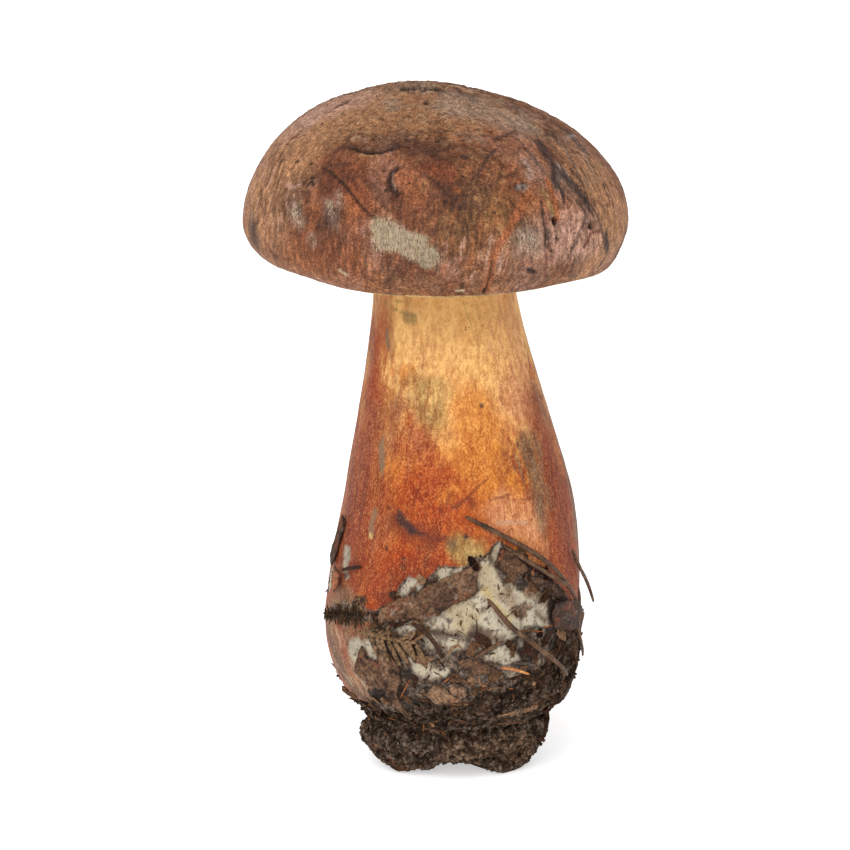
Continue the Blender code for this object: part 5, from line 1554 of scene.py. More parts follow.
class BOLETE_OT_stem(bpy.types.Operator):
    """Make the stem, its dotted skin, and the dirty, partly bare flesh of its foot"""
    bl_idname = "bolete.stem"
    bl_label = "Stem"

    def execute(self, context):
        paints = context.scene.bolete_paints
        depth = context.scene.bolete_sizes.skin_thickness / MM
        angles = front_heavy(STEM_COLUMNS, 0.36)
        levels = stem_levels(STEM_ROWS)
        rows = on_stem(angles[None, :], levels[:, None], 0.0)
        bottom = (float(stem_middle(FOOT_LEVEL)), 0.0, FOOT_LEVEL)
        top = (float(stem_middle(STEM_TOP_LEVEL)), 0.0, STEM_TOP_LEVEL)
        mesh = band_mesh("stem_skin", rows, bottom, top)
        points = places_of(mesh)
        tree = skin_tree(mesh)
        level = points[:, 2] / MM
        angle = angle_round(points)
        colours = self.ground(points, level, angle, paints)
        marks = washes(STEM_WASHES) + hidden_stem_marks(random.Random(19)) + washes(LEFT_FOOT)
        marks += streaks(STEM_BUNDLES, random.Random(39))
        colours, dents, _ = lay_marks(points, colours, tree, marks, paints, 300)
        colours, cuts, scarred = lay_marks(points, colours, tree, lines(STEM_LINES), paints, 360)
        torn = torn_share(points, angle, tree)
        flesh = flesh_share(points, angle, tree)
        dirt = torn * (1 - flesh)
        bare = np.maximum(torn, flesh)
        # The dirt's colour, with its painted shade under the litter
        colours = lay(colours, mottle(plain(paints.soil, points), points, paints, DIRT_AND_SHADE_MOTTLES), bare)
        cream = mottle(plain(paints.flesh, points), points, paints, FLESH_MOTTLES)
        cream, _, _ = lay_marks(points, cream, tree, washes(FOOT_STAINS), paints, 500)
        colours = lay(colours, cream, flesh)
        edges = 4 * flesh * (1 - flesh) + 4 * torn * (1 - torn)
        colours = lay(colours, paints.crack, 0.5 * edges * ease(rough(points, 2.4, 3, 68), -0.2, 0.5))
        heap = 0.15 + 0.5 * rough(points, 2.0, 4, 53)
        lift = dirt * heap - flesh * (depth - 0.12 * rough(points, 1.8, 3, 55))
        for number, (paint, height, *outline) in enumerate(FOOT_PATCHES):
            cover = patch_cover(points, angle, tree, 650 + number, *outline)
            colours = lay(colours, getattr(paints, paint), cover)
            lift = lift + cover * height
            dirt = np.maximum(dirt, cover)
        relief = 0.16 * rough(points, (5.0, 5.0, 30.0), 3, 51)
        relief = (relief + 0.07 * rough(points, (1.2, 1.2, 9.0), 2, 52) + lift) * MM - dents - cuts
        inside = ease(level, 158.0, 156.0) * ease(level, 13.0, 20.0)
        move_to(mesh, points + outs_of(mesh) * (relief * inside)[:, None])
        paint_mesh(mesh, colours)
        dotted = (1 - bare) * (1 - 0.8 * scarred) * (0.4 + 0.6 * ease(level, 150, 105))
        store_share(mesh, "dotted", dotted)
        store_share(mesh, "dirt", dirt * inside)
        store_share(mesh, "flesh", flesh * (1 - dirt) * inside)
        new_piece("stem_skin", mesh, ["stem"], stem_material(paints))
        return {"FINISHED"}

    def ground(self, points, level, angle, paints):
        """Straw at the top, through amber to flame and brick low down, and brick towards the left and
        right sides, partly the stem's own red and partly painted shade where the skin turns away from the
        front.
        """
        level = level + 7 * rough(points, (9, 9, 26), 4, 61)
        mottles = rough(points, (4.0, 4.0, 6.5), 4, 62)
        fibres = rough(points, (2.4, 2.4, 16), 4, 65)
        fine = rough(points, (1.3, 1.3, 2.4), 3, 67) * ease(level, 150, 110)
        # How far the skin turns to the left or right of the front, for the painted side shade
        sides = np.abs(np.sin(np.radians(angle)))
        colours = plain(paints.straw, points)
        for paint, share in (
            ("amber", ease(level, 118, 86)),
            ("flame", 0.75 * ease(level, 94, 64)),
            ("flame", 0.75 * ease(mottles, 0.05, 0.5) * ease(level, 125, 90)),
            ("amber", 0.75 * ease(-mottles, 0.05, 0.5) * ease(level, 40, 60)),
            ("brick", 0.6 * ease(fibres, 0.05, 0.5)),
            ("wine", 0.35 * ease(fine, 0.2, 0.7)),
            ("amber", 0.4 * ease(-fine, 0.2, 0.7)),
            # Brick at the left and right sides: partly the stem's own red and partly painted shade
            ("brick", 0.6 * ease(sides, 0.6, 0.98) * ease(level, 132, 90)),
        ):
            colours = lay(colours, getattr(paints, paint), share)
        return mottle(colours, points, paints, STEM_MOTTLES)


def torn_share(points, angle, tree):
    """How far the stem's skin is torn away at each point, from 0 to 1."""
    seen = photo_outline(tree, TORN_EDGE)
    line = np.array(sorted([tuple(place) for place in seen] + list(TORN_BEHIND)))
    edge = np.interp(angle, line[:, 0], line[:, 1], period=360)
    edge = edge + 1.3 * rough(points, 3.0, 4, 57)
    return 1 - ease(points[:, 2] / MM - edge, -0.35, 0.35)


def flesh_share(points, angle, tree):
    """How far each point shows bare flesh, from 0 to 1."""
    flesh = np.zeros(len(points))
    for number, outline in enumerate(BARE_FLESH):
        flesh = np.maximum(flesh, patch_cover(points, angle, tree, 600 + number, *outline))
    for number, item in enumerate(hidden_flesh(random.Random(29))):
        found, cover = mark_cover(points, tree, item, 620 + number)
        flesh[found] = np.maximum(flesh[found], cover)
    return flesh


# Soil

SOIL_COLUMNS = 400
SOIL_ROWS = 196
SOIL_CUP_POINTS = 12


def soil_section(angle):
    """Half sections through the soil at these angles, as points from its cup out and down."""
    cup_points = SOIL_CUP_POINTS
    crust_points = 10
    edge = 2.6 * waver(np.stack((angle / 7, angle * 0, angle * 0), axis=1) * MM, 1.0, 81)
    edge = edge + 1.5 * waver(np.stack((angle / 2.4, angle * 0, angle * 0), axis=1) * MM, 1.0, 82)
    top = crust_top(angle) + (edge - 1.0) * MM
    neck = clod_size(angle, 4)
    rows = []
    for index in range(1, cup_points + 1):
        rows.append(on_stem(angle, bulb_level(bulb_share(top) * index / cup_points), CUP_GAP))
    for index in range(crust_points + 1):
        level = top + (neck - top) * index / crust_points
        thickness = CRUST_EDGE + CRUST_SWELL * ((top - level) / CRUST_DEPTH) ** 2
        rows.append(on_stem(angle, level, CUP_GAP + thickness))
    belly = clod_size(angle, 1)
    belly_top = clod_size(angle, 2)
    foot = clod_size(angle, 3)
    hollow = smooth_value(NOTCH, angle) * MM
    turn = np.radians(angle)
    for radius, level in (
        (belly - 0.8 * MM, belly_top), (belly, belly_top * 0.75),
        ((belly * 2 + foot) / 3, belly_top * 0.45), (foot + 1.2 * MM, belly_top * 0.16 + hollow),
        (foot, np.maximum(hollow - 0.2 * MM, 0)), (FLAT_SPOT * foot, hollow * 0),
    ):
        rows.append(np.stack((np.sin(turn) * radius, -np.cos(turn) * radius, level), axis=-1))
    run_in = 0.95 * np.minimum(hollow / NOTCH_FULL, 1)[:, None]
    rows[-1] = rows[-1] * (1 - run_in) + NOTCH_END * run_in
    return np.array(rows), cup_points


def resampled(rows, keep, count):
    """The rows after the first keep, drawn again as this many rows along smooth sections."""
    late = rows[keep:]
    spans = np.linalg.norm(np.diff(late, axis=0), axis=2).mean(axis=1)
    at = np.concatenate(([0], np.cumsum(spans)))
    wanted = np.linspace(0, at[-1], count)
    index = np.clip(np.searchsorted(at, wanted, "right") - 1, 0, len(at) - 2)
    t = ((wanted - at[index]) / (at[index + 1] - at[index]))[:, None, None]
    return np.concatenate((rows[:keep], late[index] * (1 - t) + late[index + 1] * t))


def crumbs_height(points, size):
    """Height of a crumbly surface in metres: rounded crumbs with low gaps between them, which the soil's
    colours darken as painted shade.
    """
    big = 1 - np.abs(rough(points, 3.2 * size, 3, 91)) * 2.2
    small = 1 - np.abs(rough(points, 1.3 * size, 3, 92)) * 2.2
    return (0.75 * big + 0.5 * small + 0.5 * rough(points, 6.0 * size, 2, 93)) * MM


SOIL_STAINS = (
    # paint, width, soft, ragged, strength, pixels
    ("rust", 3, 3, 1.2, 0.5, (390, 762), (400, 770)),
    ("vein", 1.6, 0.8, 0.7, 0.7, (522, 709), (538, 706)),
    ("vein", 1.2, 0.8, 0.5, 0.7, (500, 715), (520, 714)),
    ("vein", 1.8, 0.6, 0.3, 0.8, (430, 724), (432, 725)),
    ("vein", 9, 7, 3, 0.3, (480, 748), (525, 752)),
    ("vein", 5, 5, 2.5, 0.35, (395, 764), (412, 768)),
    ("vein", 4, 4, 2.5, 0.25, (448, 752), (470, 760)),
    ("crack", 5, 5, 2, 0.4, (440, 725), (470, 732)),
    ("crack", 7, 6, 3, 0.45, (376, 722), (410, 728)),
    ("crack", 6, 6, 3, 0.35, (420, 706), (500, 704)),
)


# paint, strength, size, octaves, seed, the noise where it starts and where it is full
SOIL_MOTTLES = (
    ("stain", 0.6, 4.0, 4, 95, 0.1, 0.7), ("crack", 0.6, 5.0, 4, 97, 0.15, 0.7),
    ("grit", 0.5, 1.8, 3, 96, 0.45, 0.8),
)


class BOLETE_OT_soil(bpy.types.Operator):
    """Make the crumbly clod of soil and the crust that it leaves on the bulb"""
    bl_idname = "bolete.soil"
    bl_label = "Soil"

    def execute(self, context):
        paints = context.scene.bolete_paints
        size = context.scene.bolete_sizes.crumb_size / MM / CRUMB_SIZE
        angles = front_heavy(SOIL_COLUMNS)
        rows, keep = soil_section(angles)
        rows = resampled(rows, keep, SOIL_ROWS)
        middle = float(stem_middle(FOOT_LEVEL))
        mesh = band_mesh("soil", rows, (middle, 0.0, FOOT_LEVEL - CUP_GAP), NOTCH_END)
        mesh.flip_normals()
        points = places_of(mesh)
        outs = outs_of(mesh)
        outer = np.ones(len(points))
        outer[: keep * len(angles)] = 0
        outer[-2:] = 0
        level = points[:, 2] / MM
        on_clod = ease(level, 19.0, 14.0)
        height = crumbs_height(points, size) * (0.42 + 0.75 * on_clod) - 0.15 * MM
        height = height * outer * ease(level, 0.0, 1.5)
        moved = points + outs * height[:, None]
        moved[:, 2] = np.maximum(moved[:, 2], 0.0)
        move_to(mesh, moved)
        colours = plain(paints.soil, points)
        # Painted shade in the low gaps between the crumbs
        colours = lay(colours, paints.crack, 0.75 * ease(-height / MM, -0.5, 0.1) * outer)
        colours = mottle(colours, points, paints, SOIL_MOTTLES)
        stains = washes(SOIL_STAINS)
        colours, _, _ = lay_marks(points, colours, skin_tree(mesh), stains, paints, 800)
        paint_mesh(mesh, colours)
        new_piece("soil", mesh, ["soil_clod"], soil_material(paints))
        return {"FINISHED"}


# Litter

def drawn_outline(place, turn, length, width, blunt):
    """Outline of a leaf by formula: pointed at both ends, or blunt and torn."""
    share = np.linspace(0, 1, 14)
    half = np.where(blunt, np.maximum((1 - np.abs(2 * share - 1) ** 5) ** 0.5, 0.3),
                    np.sin(pi * share**0.8) ** 0.8) * width / 2
    along = (share - 0.5) * length
    side = np.concatenate((np.stack((along, half), 1), np.stack((along, -half), 1)[::-1][1:-1]))
    turn = radians(turn)
    sideways = side[:, 0] * cos(turn) - side[:, 1] * sin(turn)
    upward = side[:, 0] * sin(turn) + side[:, 1] * cos(turn)
    level = place[1] + upward
    reach = np.maximum(stem_radius(level * MM), BULB_RADIUS / 2) / MM
    return np.stack((place[0] + np.degrees(sideways / reach), level), axis=1)


def torn_edge(flat, ragged, seed):
    """An outline with a point every half millimetre and a ragged, torn edge."""
    points = []
    for start, end in zip(flat, np.roll(flat, -1, axis=0)):
        count = max(1, int(np.linalg.norm(end - start) / 0.5))
        for index in range(count):
            points.append(start + (end - start) * index / count)
    points = np.array(points)
    probe = np.column_stack((points, np.zeros(len(points)))) * MM
    shift = np.column_stack((rough(probe, 1.6, 3, seed), rough(probe, 1.6, 3, seed + 1)))
    return points + ragged * shift


LEAF_STEP = 0.55                # between the points inside a leaf, in millimetres
VEIN_WIDTH = 0.45
VEIN_STEP = 3.1


def leaf_shape(name, outline, lifts, thickness, ragged, curl, seed, veins):
    """A thin sheet that lies over the bulb inside an outline of angles and levels. lifts are its
    lifts at its lower and upper end, or at its two ends along its longer side."""
    middle = outline.mean(axis=0)
    reach = float(stem_radius(middle[1] * MM)) / MM
    flat = np.stack((np.radians(outline[:, 0] - middle[0]) * reach, outline[:, 1] - middle[1]), 1)
    edge = torn_edge(flat, ragged, seed)
    low, high = edge.min(0) - 1, edge.max(0) + 1
    step = LEAF_STEP
    xs, ys = np.meshgrid(np.arange(low[0], high[0], step), np.arange(low[1], high[1], step * 0.87))
    xs = xs + (np.arange(xs.shape[0]) % 2)[:, None] * step / 2
    inner = np.column_stack((xs.ravel(), ys.ravel()))
    away, _ = distance_to(inner, np.concatenate((edge, edge[:1])))
    inner = inner[away > 0.35]
    flat_points = [Vector(point) for point in np.concatenate((edge, inner))]
    loop = list(range(len(edge)))
    made = delaunay_2d_cdt(flat_points, [], [loop], 1, 1e-6)
    places = np.array([tuple(point) for point in made[0]])
    from_edge, _ = distance_to(places, np.concatenate((edge, edge[:1])))
    long = np.linalg.svd(flat - flat.mean(0), full_matrices=False)[2][0]
    long = long if long[0] >= 0 else -long
    along = places @ long
    across = places @ np.array((-long[1], long[0]))
    share = (along - along.min()) / np.ptp(along)
    lift = (lifts[0] + (lifts[1] - lifts[0]) * share) / MM
    probe = np.column_stack((places, np.zeros(len(places)))) * MM
    lift = lift + curl * (1 - ease(from_edge, 0, 2.2)) * (0.5 + 0.5 * rough(probe, 5.0, 2, seed + 2))
    rib = np.exp(-((across / VEIN_WIDTH) ** 2))
    slant = (np.abs(across) * 0.8 + along) * 2 * pi / VEIN_STEP
    side_veins = np.maximum(np.cos(slant), 0) ** 8 * ease(np.abs(across), 0.3, 0.8)
    vein = veins * np.maximum(rib, 0.6 * side_veins)
    wrinkle = 0.10 * rough(probe, 2.4, 3, seed + 3)
    angle = middle[0] + np.degrees(places[:, 0] / reach)
    level = (places[:, 1] + middle[1]) * MM
    front = on_stem(angle, level, (lift + wrinkle + 0.16 * vein) * MM + thickness)
    back = on_stem(angle, level, (lift + wrinkle) * MM)
    return sheet_mesh(name, front, back, made[2]), places, vein, from_edge


def sheet_mesh(name, front, back, triangles):
    """A closed thin plate from a front and a back with the same triangles."""
    count = len(front)
    faces = [tuple(face) for face in triangles]
    sides = {}
    for face in faces:
        for near, far in zip(face, face[1:] + face[:1]):
            sides[(near, far)] = True
    walls = [(a, b) for a, b in sides if (b, a) not in sides]
    backs = [tuple(corner + count for corner in reversed(face)) for face in faces]
    walls = [(b, a, a + count, b + count) for a, b in walls]
    return joined_mesh(name, [(np.concatenate((front, back)), faces + backs + walls)])


LEAVES_IN_PHOTO = (
    # name, node, slot, paint, outline in pixels, lifts, ragged edge, curl, veins
    ("broad_leaf", "leaf_broad", "dry_leaf", "leaf",
     ((377, 618), (384, 605), (400, 599), (412, 594), (420, 590), (430, 583), (440, 580), (452, 575),
      (462, 570), (470, 565), (478, 560), (480, 568), (477, 578), (478, 590), (470, 598), (455, 603),
      (447, 607), (435, 616), (420, 620), (410, 620), (395, 622), (384, 624)), (BEDDED, BEDDED), 0.6,
     0.5, 0.7),
    ("scrap_leaf", "leaf_scrap", "dark_leaf", "leaf",
     ((499, 547), (510, 551), (522, 561), (527, 570), (517, 577), (511, 583), (504, 574), (494, 567),
      (496, 556)), (BEDDED, BEDDED), 0.45, 0.5, 0.5),
    ("purple_leaf", "leaf_dark", "dark_leaf", "rot",
     ((529, 575), (540, 577), (552, 583), (561, 592), (557, 600), (546, 594), (538, 590), (531, 583)),
     (BEDDED, BEDDED), 0.4, 0.5, 0.4),
    ("edge_leaf", "leaf_edge", "dark_leaf", "rot",
     ((549, 604), (560, 598), (571, 602), (576, 613), (573, 626), (561, 629), (550, 628), (546, 616)),
     (OVER_EDGE, OVER_EDGE), 0.6, 0.5, 0.5),
    ("pointed_leaf", "leaf_pointed", "dry_leaf", "needle",
     ((363, 645), (368, 656), (378, 661), (386, 671), (389, 687), (380, 688), (366, 681), (357, 670),
      (359, 658)), (BEDDED, BEDDED), 0.25, 0.35, 0.8),
    ("long_leaf", "leaf_long", "dry_leaf", "needle",
     ((381, 646), (392, 653), (401, 664), (403, 680), (399, 690), (406, 702), (415, 713), (405, 708),
      (396, 701), (389, 690), (386, 676), (380, 661)), (OVER_SKIN, OVER_EDGE), 0.25, 0.35, 0.9),
    ("curled_leaf", "leaf_curled", "dry_leaf", "orange",
     ((341, 566), (345, 574), (344, 584), (338, 591), (335, 582), (337, 572)), (BEDDED, OVER_EDGE),
     0.15, 0.4, 0.5),
    ("low_leaf", "leaf_low", "dark_leaf", "leaf",
     ((457, 660), (468, 658), (480, 660), (492, 666), (502, 672), (490, 673), (476, 674), (464, 671)),
     (BEDDED, BEDDED), 0.3, 0.4, 0.6),
    ("left_chip", "leaf_chip_left", "dry_leaf", "vein",
     ((426, 693), (434, 684), (441, 682), (448, 690), (462, 699), (448, 703), (434, 701)),
     (BEDDED, BEDDED), 0.3, 0.5, 0.4),
    ("right_chip", "leaf_chip_right", "dry_leaf", "vein",
     ((447, 685), (454, 681), (464, 685), (467, 693), (460, 698), (451, 693)), (BEDDED, BEDDED), 0.3,
     0.5, 0.4),
    ("sliver", "bark_sliver", "bark", "rot",
     ((345, 515), (347, 521), (343, 538), (338, 556), (334, 566), (333, 556), (338, 536)),
     (BEDDED, BEDDED), 0.2, 0.3, 0.3),
)
LEAVES_BEHIND = (
    # name, node, slot, paint, place, turn, length, width, blunt
    ("back_broad_leaf", "leaf_back_broad", "dry_leaf", "leaf", (152, 52.0), 24, 34.0, 15.0, False),
    ("back_torn_leaf", "leaf_back_torn", "dark_leaf", "rot", (-140, 45.0), -28, 24.0, 12.0, True),
    ("back_low_leaf", "leaf_back_low", "dry_leaf", "leaf", (-172, 33.5), 8, 13.0, 8.0, True),
)


class BOLETE_OT_leaves(bpy.types.Operator):
    """Make the dry and rotting leaves that cling to the bulb"""
    bl_idname = "bolete.leaves"
    bl_label = "Leaves"

    def execute(self, context):
        self.paints = context.scene.bolete_paints
        self.thickness = context.scene.bolete_sizes.leaf_thickness
        self.materials = {
            "dry_leaf": litter_material("dry_leaf", 0.7, 0.8, contrast=0.45, depth=0.12),
            "dark_leaf": litter_material("dark_leaf", 0.6, 0.7, contrast=0.5, depth=0.12),
            "bark": litter_material("bark", 0.8, 0.8, (1, 1, 4), 0.35, 0.2),
        }
        tree = plain_stem_tree()
        for number, row in enumerate(LEAVES_IN_PHOTO):
            name, node, slot, paint, pixels, lifts, ragged, curl, veins = row
            outline = photo_outline(tree, pixels)
            self.make(name, node, slot, paint, outline, lifts, ragged, curl, veins, number)
        for number, row in enumerate(LEAVES_BEHIND):
            name, node, slot, paint, place, turn, length, width, blunt = row
            outline = drawn_outline(place, turn, length, width, blunt)
            self.make(name, node, slot, paint, outline, (BEDDED, BEDDED), 0.4, 0.5, 0.8, 30 + number)
        return {"FINISHED"}

    def make(self, name, node, slot, paint, outline, lifts, ragged, curl, veins, number):
        """Make and paint one leaf."""
        paints = self.paints
        seed = 700 + 10 * number
        mesh, flat, vein, from_edge = leaf_shape(
            name, outline, lifts, self.thickness, ragged, curl, seed, veins)
        probe = np.column_stack((flat, np.zeros(len(flat)))) * MM
        dry = 1.0 if slot == "dry_leaf" else 0.4
        colours = mottle(plain(getattr(paints, paint), probe), probe, paints, (
            ("rot", 0.8, 4.0, 4, seed + 5, 0.0, 0.5), ("vein", 0.6 * dry, 2.6, 4, seed + 6, 0.1, 0.6),
        ))
        colours = lay(colours, paints.vein, 0.5 * vein * dry)
        colours = mottle(colours, probe, paints, (
            ("rust", 0.5, 3.0, 3, seed + 9, 0.2, 0.7), ("crack", 0.8, 1.8, 4, seed + 7, 0.25, 0.6),
        ))
        colours = lay(colours, paints.crack, 0.35 * (1 - ease(from_edge, 0, 0.6)))
        colours = mottle(colours, probe, paints, [("haze", 0.4 * dry, 2.0, 3, seed + 8, 0.6, 0.8)])
        paint_mesh(mesh, np.concatenate((colours, colours)))
        new_piece(name, mesh, [node], self.materials[slot])


def plain_stem_tree():
    """A plain stem, onto which the litter's pixels are cast."""
    rows = on_stem(front_heavy(180)[None, :], stem_levels(160)[:, None], 0.0)
    mesh = band_mesh("plain_stem", rows, (0, 0, FOOT_LEVEL), (0, 0, STEM_TOP_LEVEL))
    tree = skin_tree(mesh)
    bpy.data.meshes.remove(mesh)
    return tree


# Needles, twigs and sprigs

def route_points(route, shares):
    """Points at shares of a route through places (angle, level, lift)."""
    at = np.linspace(0, 1, len(route))
    angle, level, lift = (
        smooth_value([(a, place[column]) for a, place in zip(at, route)], shares)
        for column in range(3)
    )
    return on_stem(angle, level * MM, lift * MM)


def strand(points, outs, widths, heights, sides):
    """Rings of a strand along points, ribbed a little, with a pointed start and end."""
    ahead = np.gradient(points, axis=0)
    ahead /= np.linalg.norm(ahead, axis=1)[:, None]
    out = outs - ahead * np.sum(outs * ahead, axis=1)[:, None]
    out /= np.linalg.norm(out, axis=1)[:, None]
    beside = np.cross(ahead, out)
    turn = 2 * pi * (np.arange(sides) + 0.5) / sides
    ring = (
        beside[:, None] * (np.cos(turn)[None, :] * widths[:, None] / 2)[..., None]
        + out[:, None] * (np.sin(turn)[None, :] * heights[:, None] / 2)[..., None]
    )
    return points[1:-1, None] + ring[1:-1]


def strand_mesh(name, route, width, height, stations=44, sides=10, blunt=0.25, seed=0):
    """A needle or twig along a route, a little bent and grooved."""
    shares = np.linspace(0, 1, stations)
    points = route_points(route, shares)
    bends = np.stack([waver(points, 6.0, seed + axis) for axis in range(3)], 1)
    points[1:-1] += 0.10 * MM * bends[1:-1]
    outs = from_middle(points)
    taper = np.maximum(1 - np.abs(2 * shares - 1) ** 3, 0) ** blunt
    taper = taper * (1 + 0.10 * waver(points, 2.5, seed + 5))
    rings = strand(points, outs, width * MM * taper, height * MM * taper, sides)
    groove = 1 - 0.16 * (np.arange(sides) % 2)
    centre = rings.mean(axis=1, keepdims=True)
    rings = centre + (rings - centre) * groove[None, :, None]
    return band_mesh(name, rings, points[0], points[-1])


NEEDLES = (
    # piece, node, route, width
    ("long_needle", "needle_long",
     ((2.4, 79.8, 1.0), (20, 74, 1.4), (44, 64.6, 1.8), (68.5, 49.8, 2.3)), 1.5),
    ("twin_needle", "needle_twin",
     ((19, 72.0, 1.5), (30, 67.2, 2.3), (44, 61.5, 2.4), (57, 56.6, 3.5)), 1.3),
    ("low_needle", "needle_low",
     ((13.5, 57.0, 1.2), (25, 48.8, 1.5), (41, 40.6, 2.4), (60, 31.6, 3.3)), 1.6),
    ("short_needle", "needle_short", ((9.4, 40.0, 0.9), (15.8, 42.3, 1.0), (22.3, 44.6, 1.1)), 1.1),
    ("free_needle", "needle_free",
     ((65.5, 66.5, 0.9), (72, 60.5, 1.5), (82, 54.5, 2.6), (87, 48.0, 4.6)), 1.3),
    ("edge_needle", "needle_edge",
     ((74, 54.6, 0.9), (71, 49.5, 2.0), (70.5, 42, 2.2), (82, 33.5, 2.9)), 1.2),
    ("back_left_needle", "needle_back_left",
     ((-165, 66, 0.9), (-150, 60.5, 1.1), (-126, 55.5, 1.2)), 1.4),
    ("back_right_needle", "needle_back_right",
     ((112, 66, 0.9), (134, 58, 2.0), (160, 44, 2.1), (172, 38, 2.2)), 1.5),
)
ORANGE_NEEDLE = ((20.5, 37.4, 2.0), (28, 36.2, 2.0), (35, 34.6, 2.4))
TWIGS = (
    ("curved_twig", "twig_curved",
     ((-18, 50.0, 1.3), (-12.5, 48.2, 1.9), (-7.6, 45.0, 1.9), (-4.4, 40.6, 1.4)), 1.3),
    ("small_twig", "twig_small", ((-59.5, 61.2, 1.9), (-54, 62.4, 1.1), (-48.4, 63.4, 0.8)), 1.1),
)
SPRUCE_ROUTE = ((-43, 45.6, 1.9), (-34, 45.4, 2.2), (-25, 45.0, 2.2), (-14.5, 44.6, 2.0))
MOSS_ROUTE = ((-77, 46.4, 1.0), (-66, 47.6, 1.1), (-54, 48.7, 1.3), (-42.5, 49.6, 1.4))


def strand_colours(mesh, ground, pale, dark, seed):
    """Colours of a strand: its ground, with paler and darker mottles."""
    points = places_of(mesh)
    colours = plain(ground, points)
    colours = lay(colours, pale, 0.7 * ease(rough(points, 2.2, 3, seed), 0.0, 0.6))
    return lay(colours, dark, 0.8 * ease(rough(points, 1.8, 3, seed + 1), 0.1, 0.6))


class BOLETE_OT_needles(bpy.types.Operator):
    """Make the dry pine needles"""
    bl_idname = "bolete.needles"
    bl_label = "Needles"

    def execute(self, context):
        paints = context.scene.bolete_paints
        dry = litter_material("pine_needle", 0.42, 0.5, (1, 1, 4), 0.25, 0.05)
        orange = litter_material("pine_needle_orange", 0.4, 0.5, (1, 1, 4), 0.2, 0.05)
        for number, (name, node, route, width) in enumerate(NEEDLES):
            mesh = strand_mesh(name, route, width, 0.8 * width, seed=number * 7)
            paint_mesh(mesh, strand_colours(mesh, paints.needle, paints.vein, paints.moss, number * 9))
            new_piece(name, mesh, [node], dry)
        mesh = strand_mesh("orange_needle", ORANGE_NEEDLE, 0.9, 0.8, seed=77)
        paint_mesh(mesh, strand_colours(mesh, paints.amber_needle, paints.straw, paints.rust, 78))
        new_piece("orange_needle", mesh, ["needle_orange"], orange)
        return {"FINISHED"}


class BOLETE_OT_twigs(bpy.types.Operator):
    """Make the two thin dark twigs"""
    bl_idname = "bolete.twigs"
    bl_label = "Twigs"

    def execute(self, context):
        paints = context.scene.bolete_paints
        bark = litter_material("twig_bark", 0.75, 0.6, (1, 1, 1), 0.35, 0.15)
        for name, node, route, width in TWIGS:
            mesh = strand_mesh(name, route, width, 0.9 * width, blunt=0.15, seed=len(name))
            paint_mesh(mesh, strand_colours(mesh, paints.rot, paints.leaf, paints.crack, 88))
            new_piece(name, mesh, [node], bark)
        return {"FINISHED"}


def blade_part(root, way, out, length, width, rise, bend, sides=6, stations=9):
    """One flat needle or moss leaf, rooted at a point and lying along a direction."""
    share = np.linspace(0, 1, stations)
    drop = (share * length) ** 2 / (2 * BULB_RADIUS)
    points = root + np.outer(share * length, way) + np.outer(rise * share - drop + bend * share**2, out)
    sizes = width * np.maximum(np.sin(pi * np.clip(share * 0.92 + 0.08, 0, 1)), 0) ** 0.35
    rings = strand(points, np.tile(out, (stations, 1)), sizes, 0.55 * sizes, sides)
    return closed_part(rings, points[0], points[-1])


def sprig_parts(route, axis_width, blades, stations=60, sides=8):
    """An axis along a route, and blades (share, lean in degrees, length, width, rise, bend)."""
    shares = np.linspace(0, 1, stations)
    points = route_points(route, shares)
    taper = np.maximum(1 - np.abs(2 * shares - 1) ** 3, 0) ** 0.12 * axis_width * MM
    rings = strand(points, from_middle(points), taper, taper, sides)
    parts = [closed_part(rings, points[0], points[-1])]
    for share, lean, *sizes in blades:
        root, ahead = route_points(route, np.array((share, share + 0.02)))
        ahead = (ahead - root) / np.linalg.norm(ahead - root)
        out = from_middle(root[None])[0]
        out = out - ahead * (out @ ahead)
        out /= np.linalg.norm(out)
        beside = np.cross(out, ahead)
        way = ahead * cos(radians(lean)) + beside * sin(radians(lean))
        parts.append(blade_part(root, way, out, *(size * MM for size in sizes)))
    return parts


SPRUCE_BELOW = 8                # long flat needles of the spruce sprig, and short ones above them
SPRUCE_ABOVE = 12
MOSS_LEAVES = 150


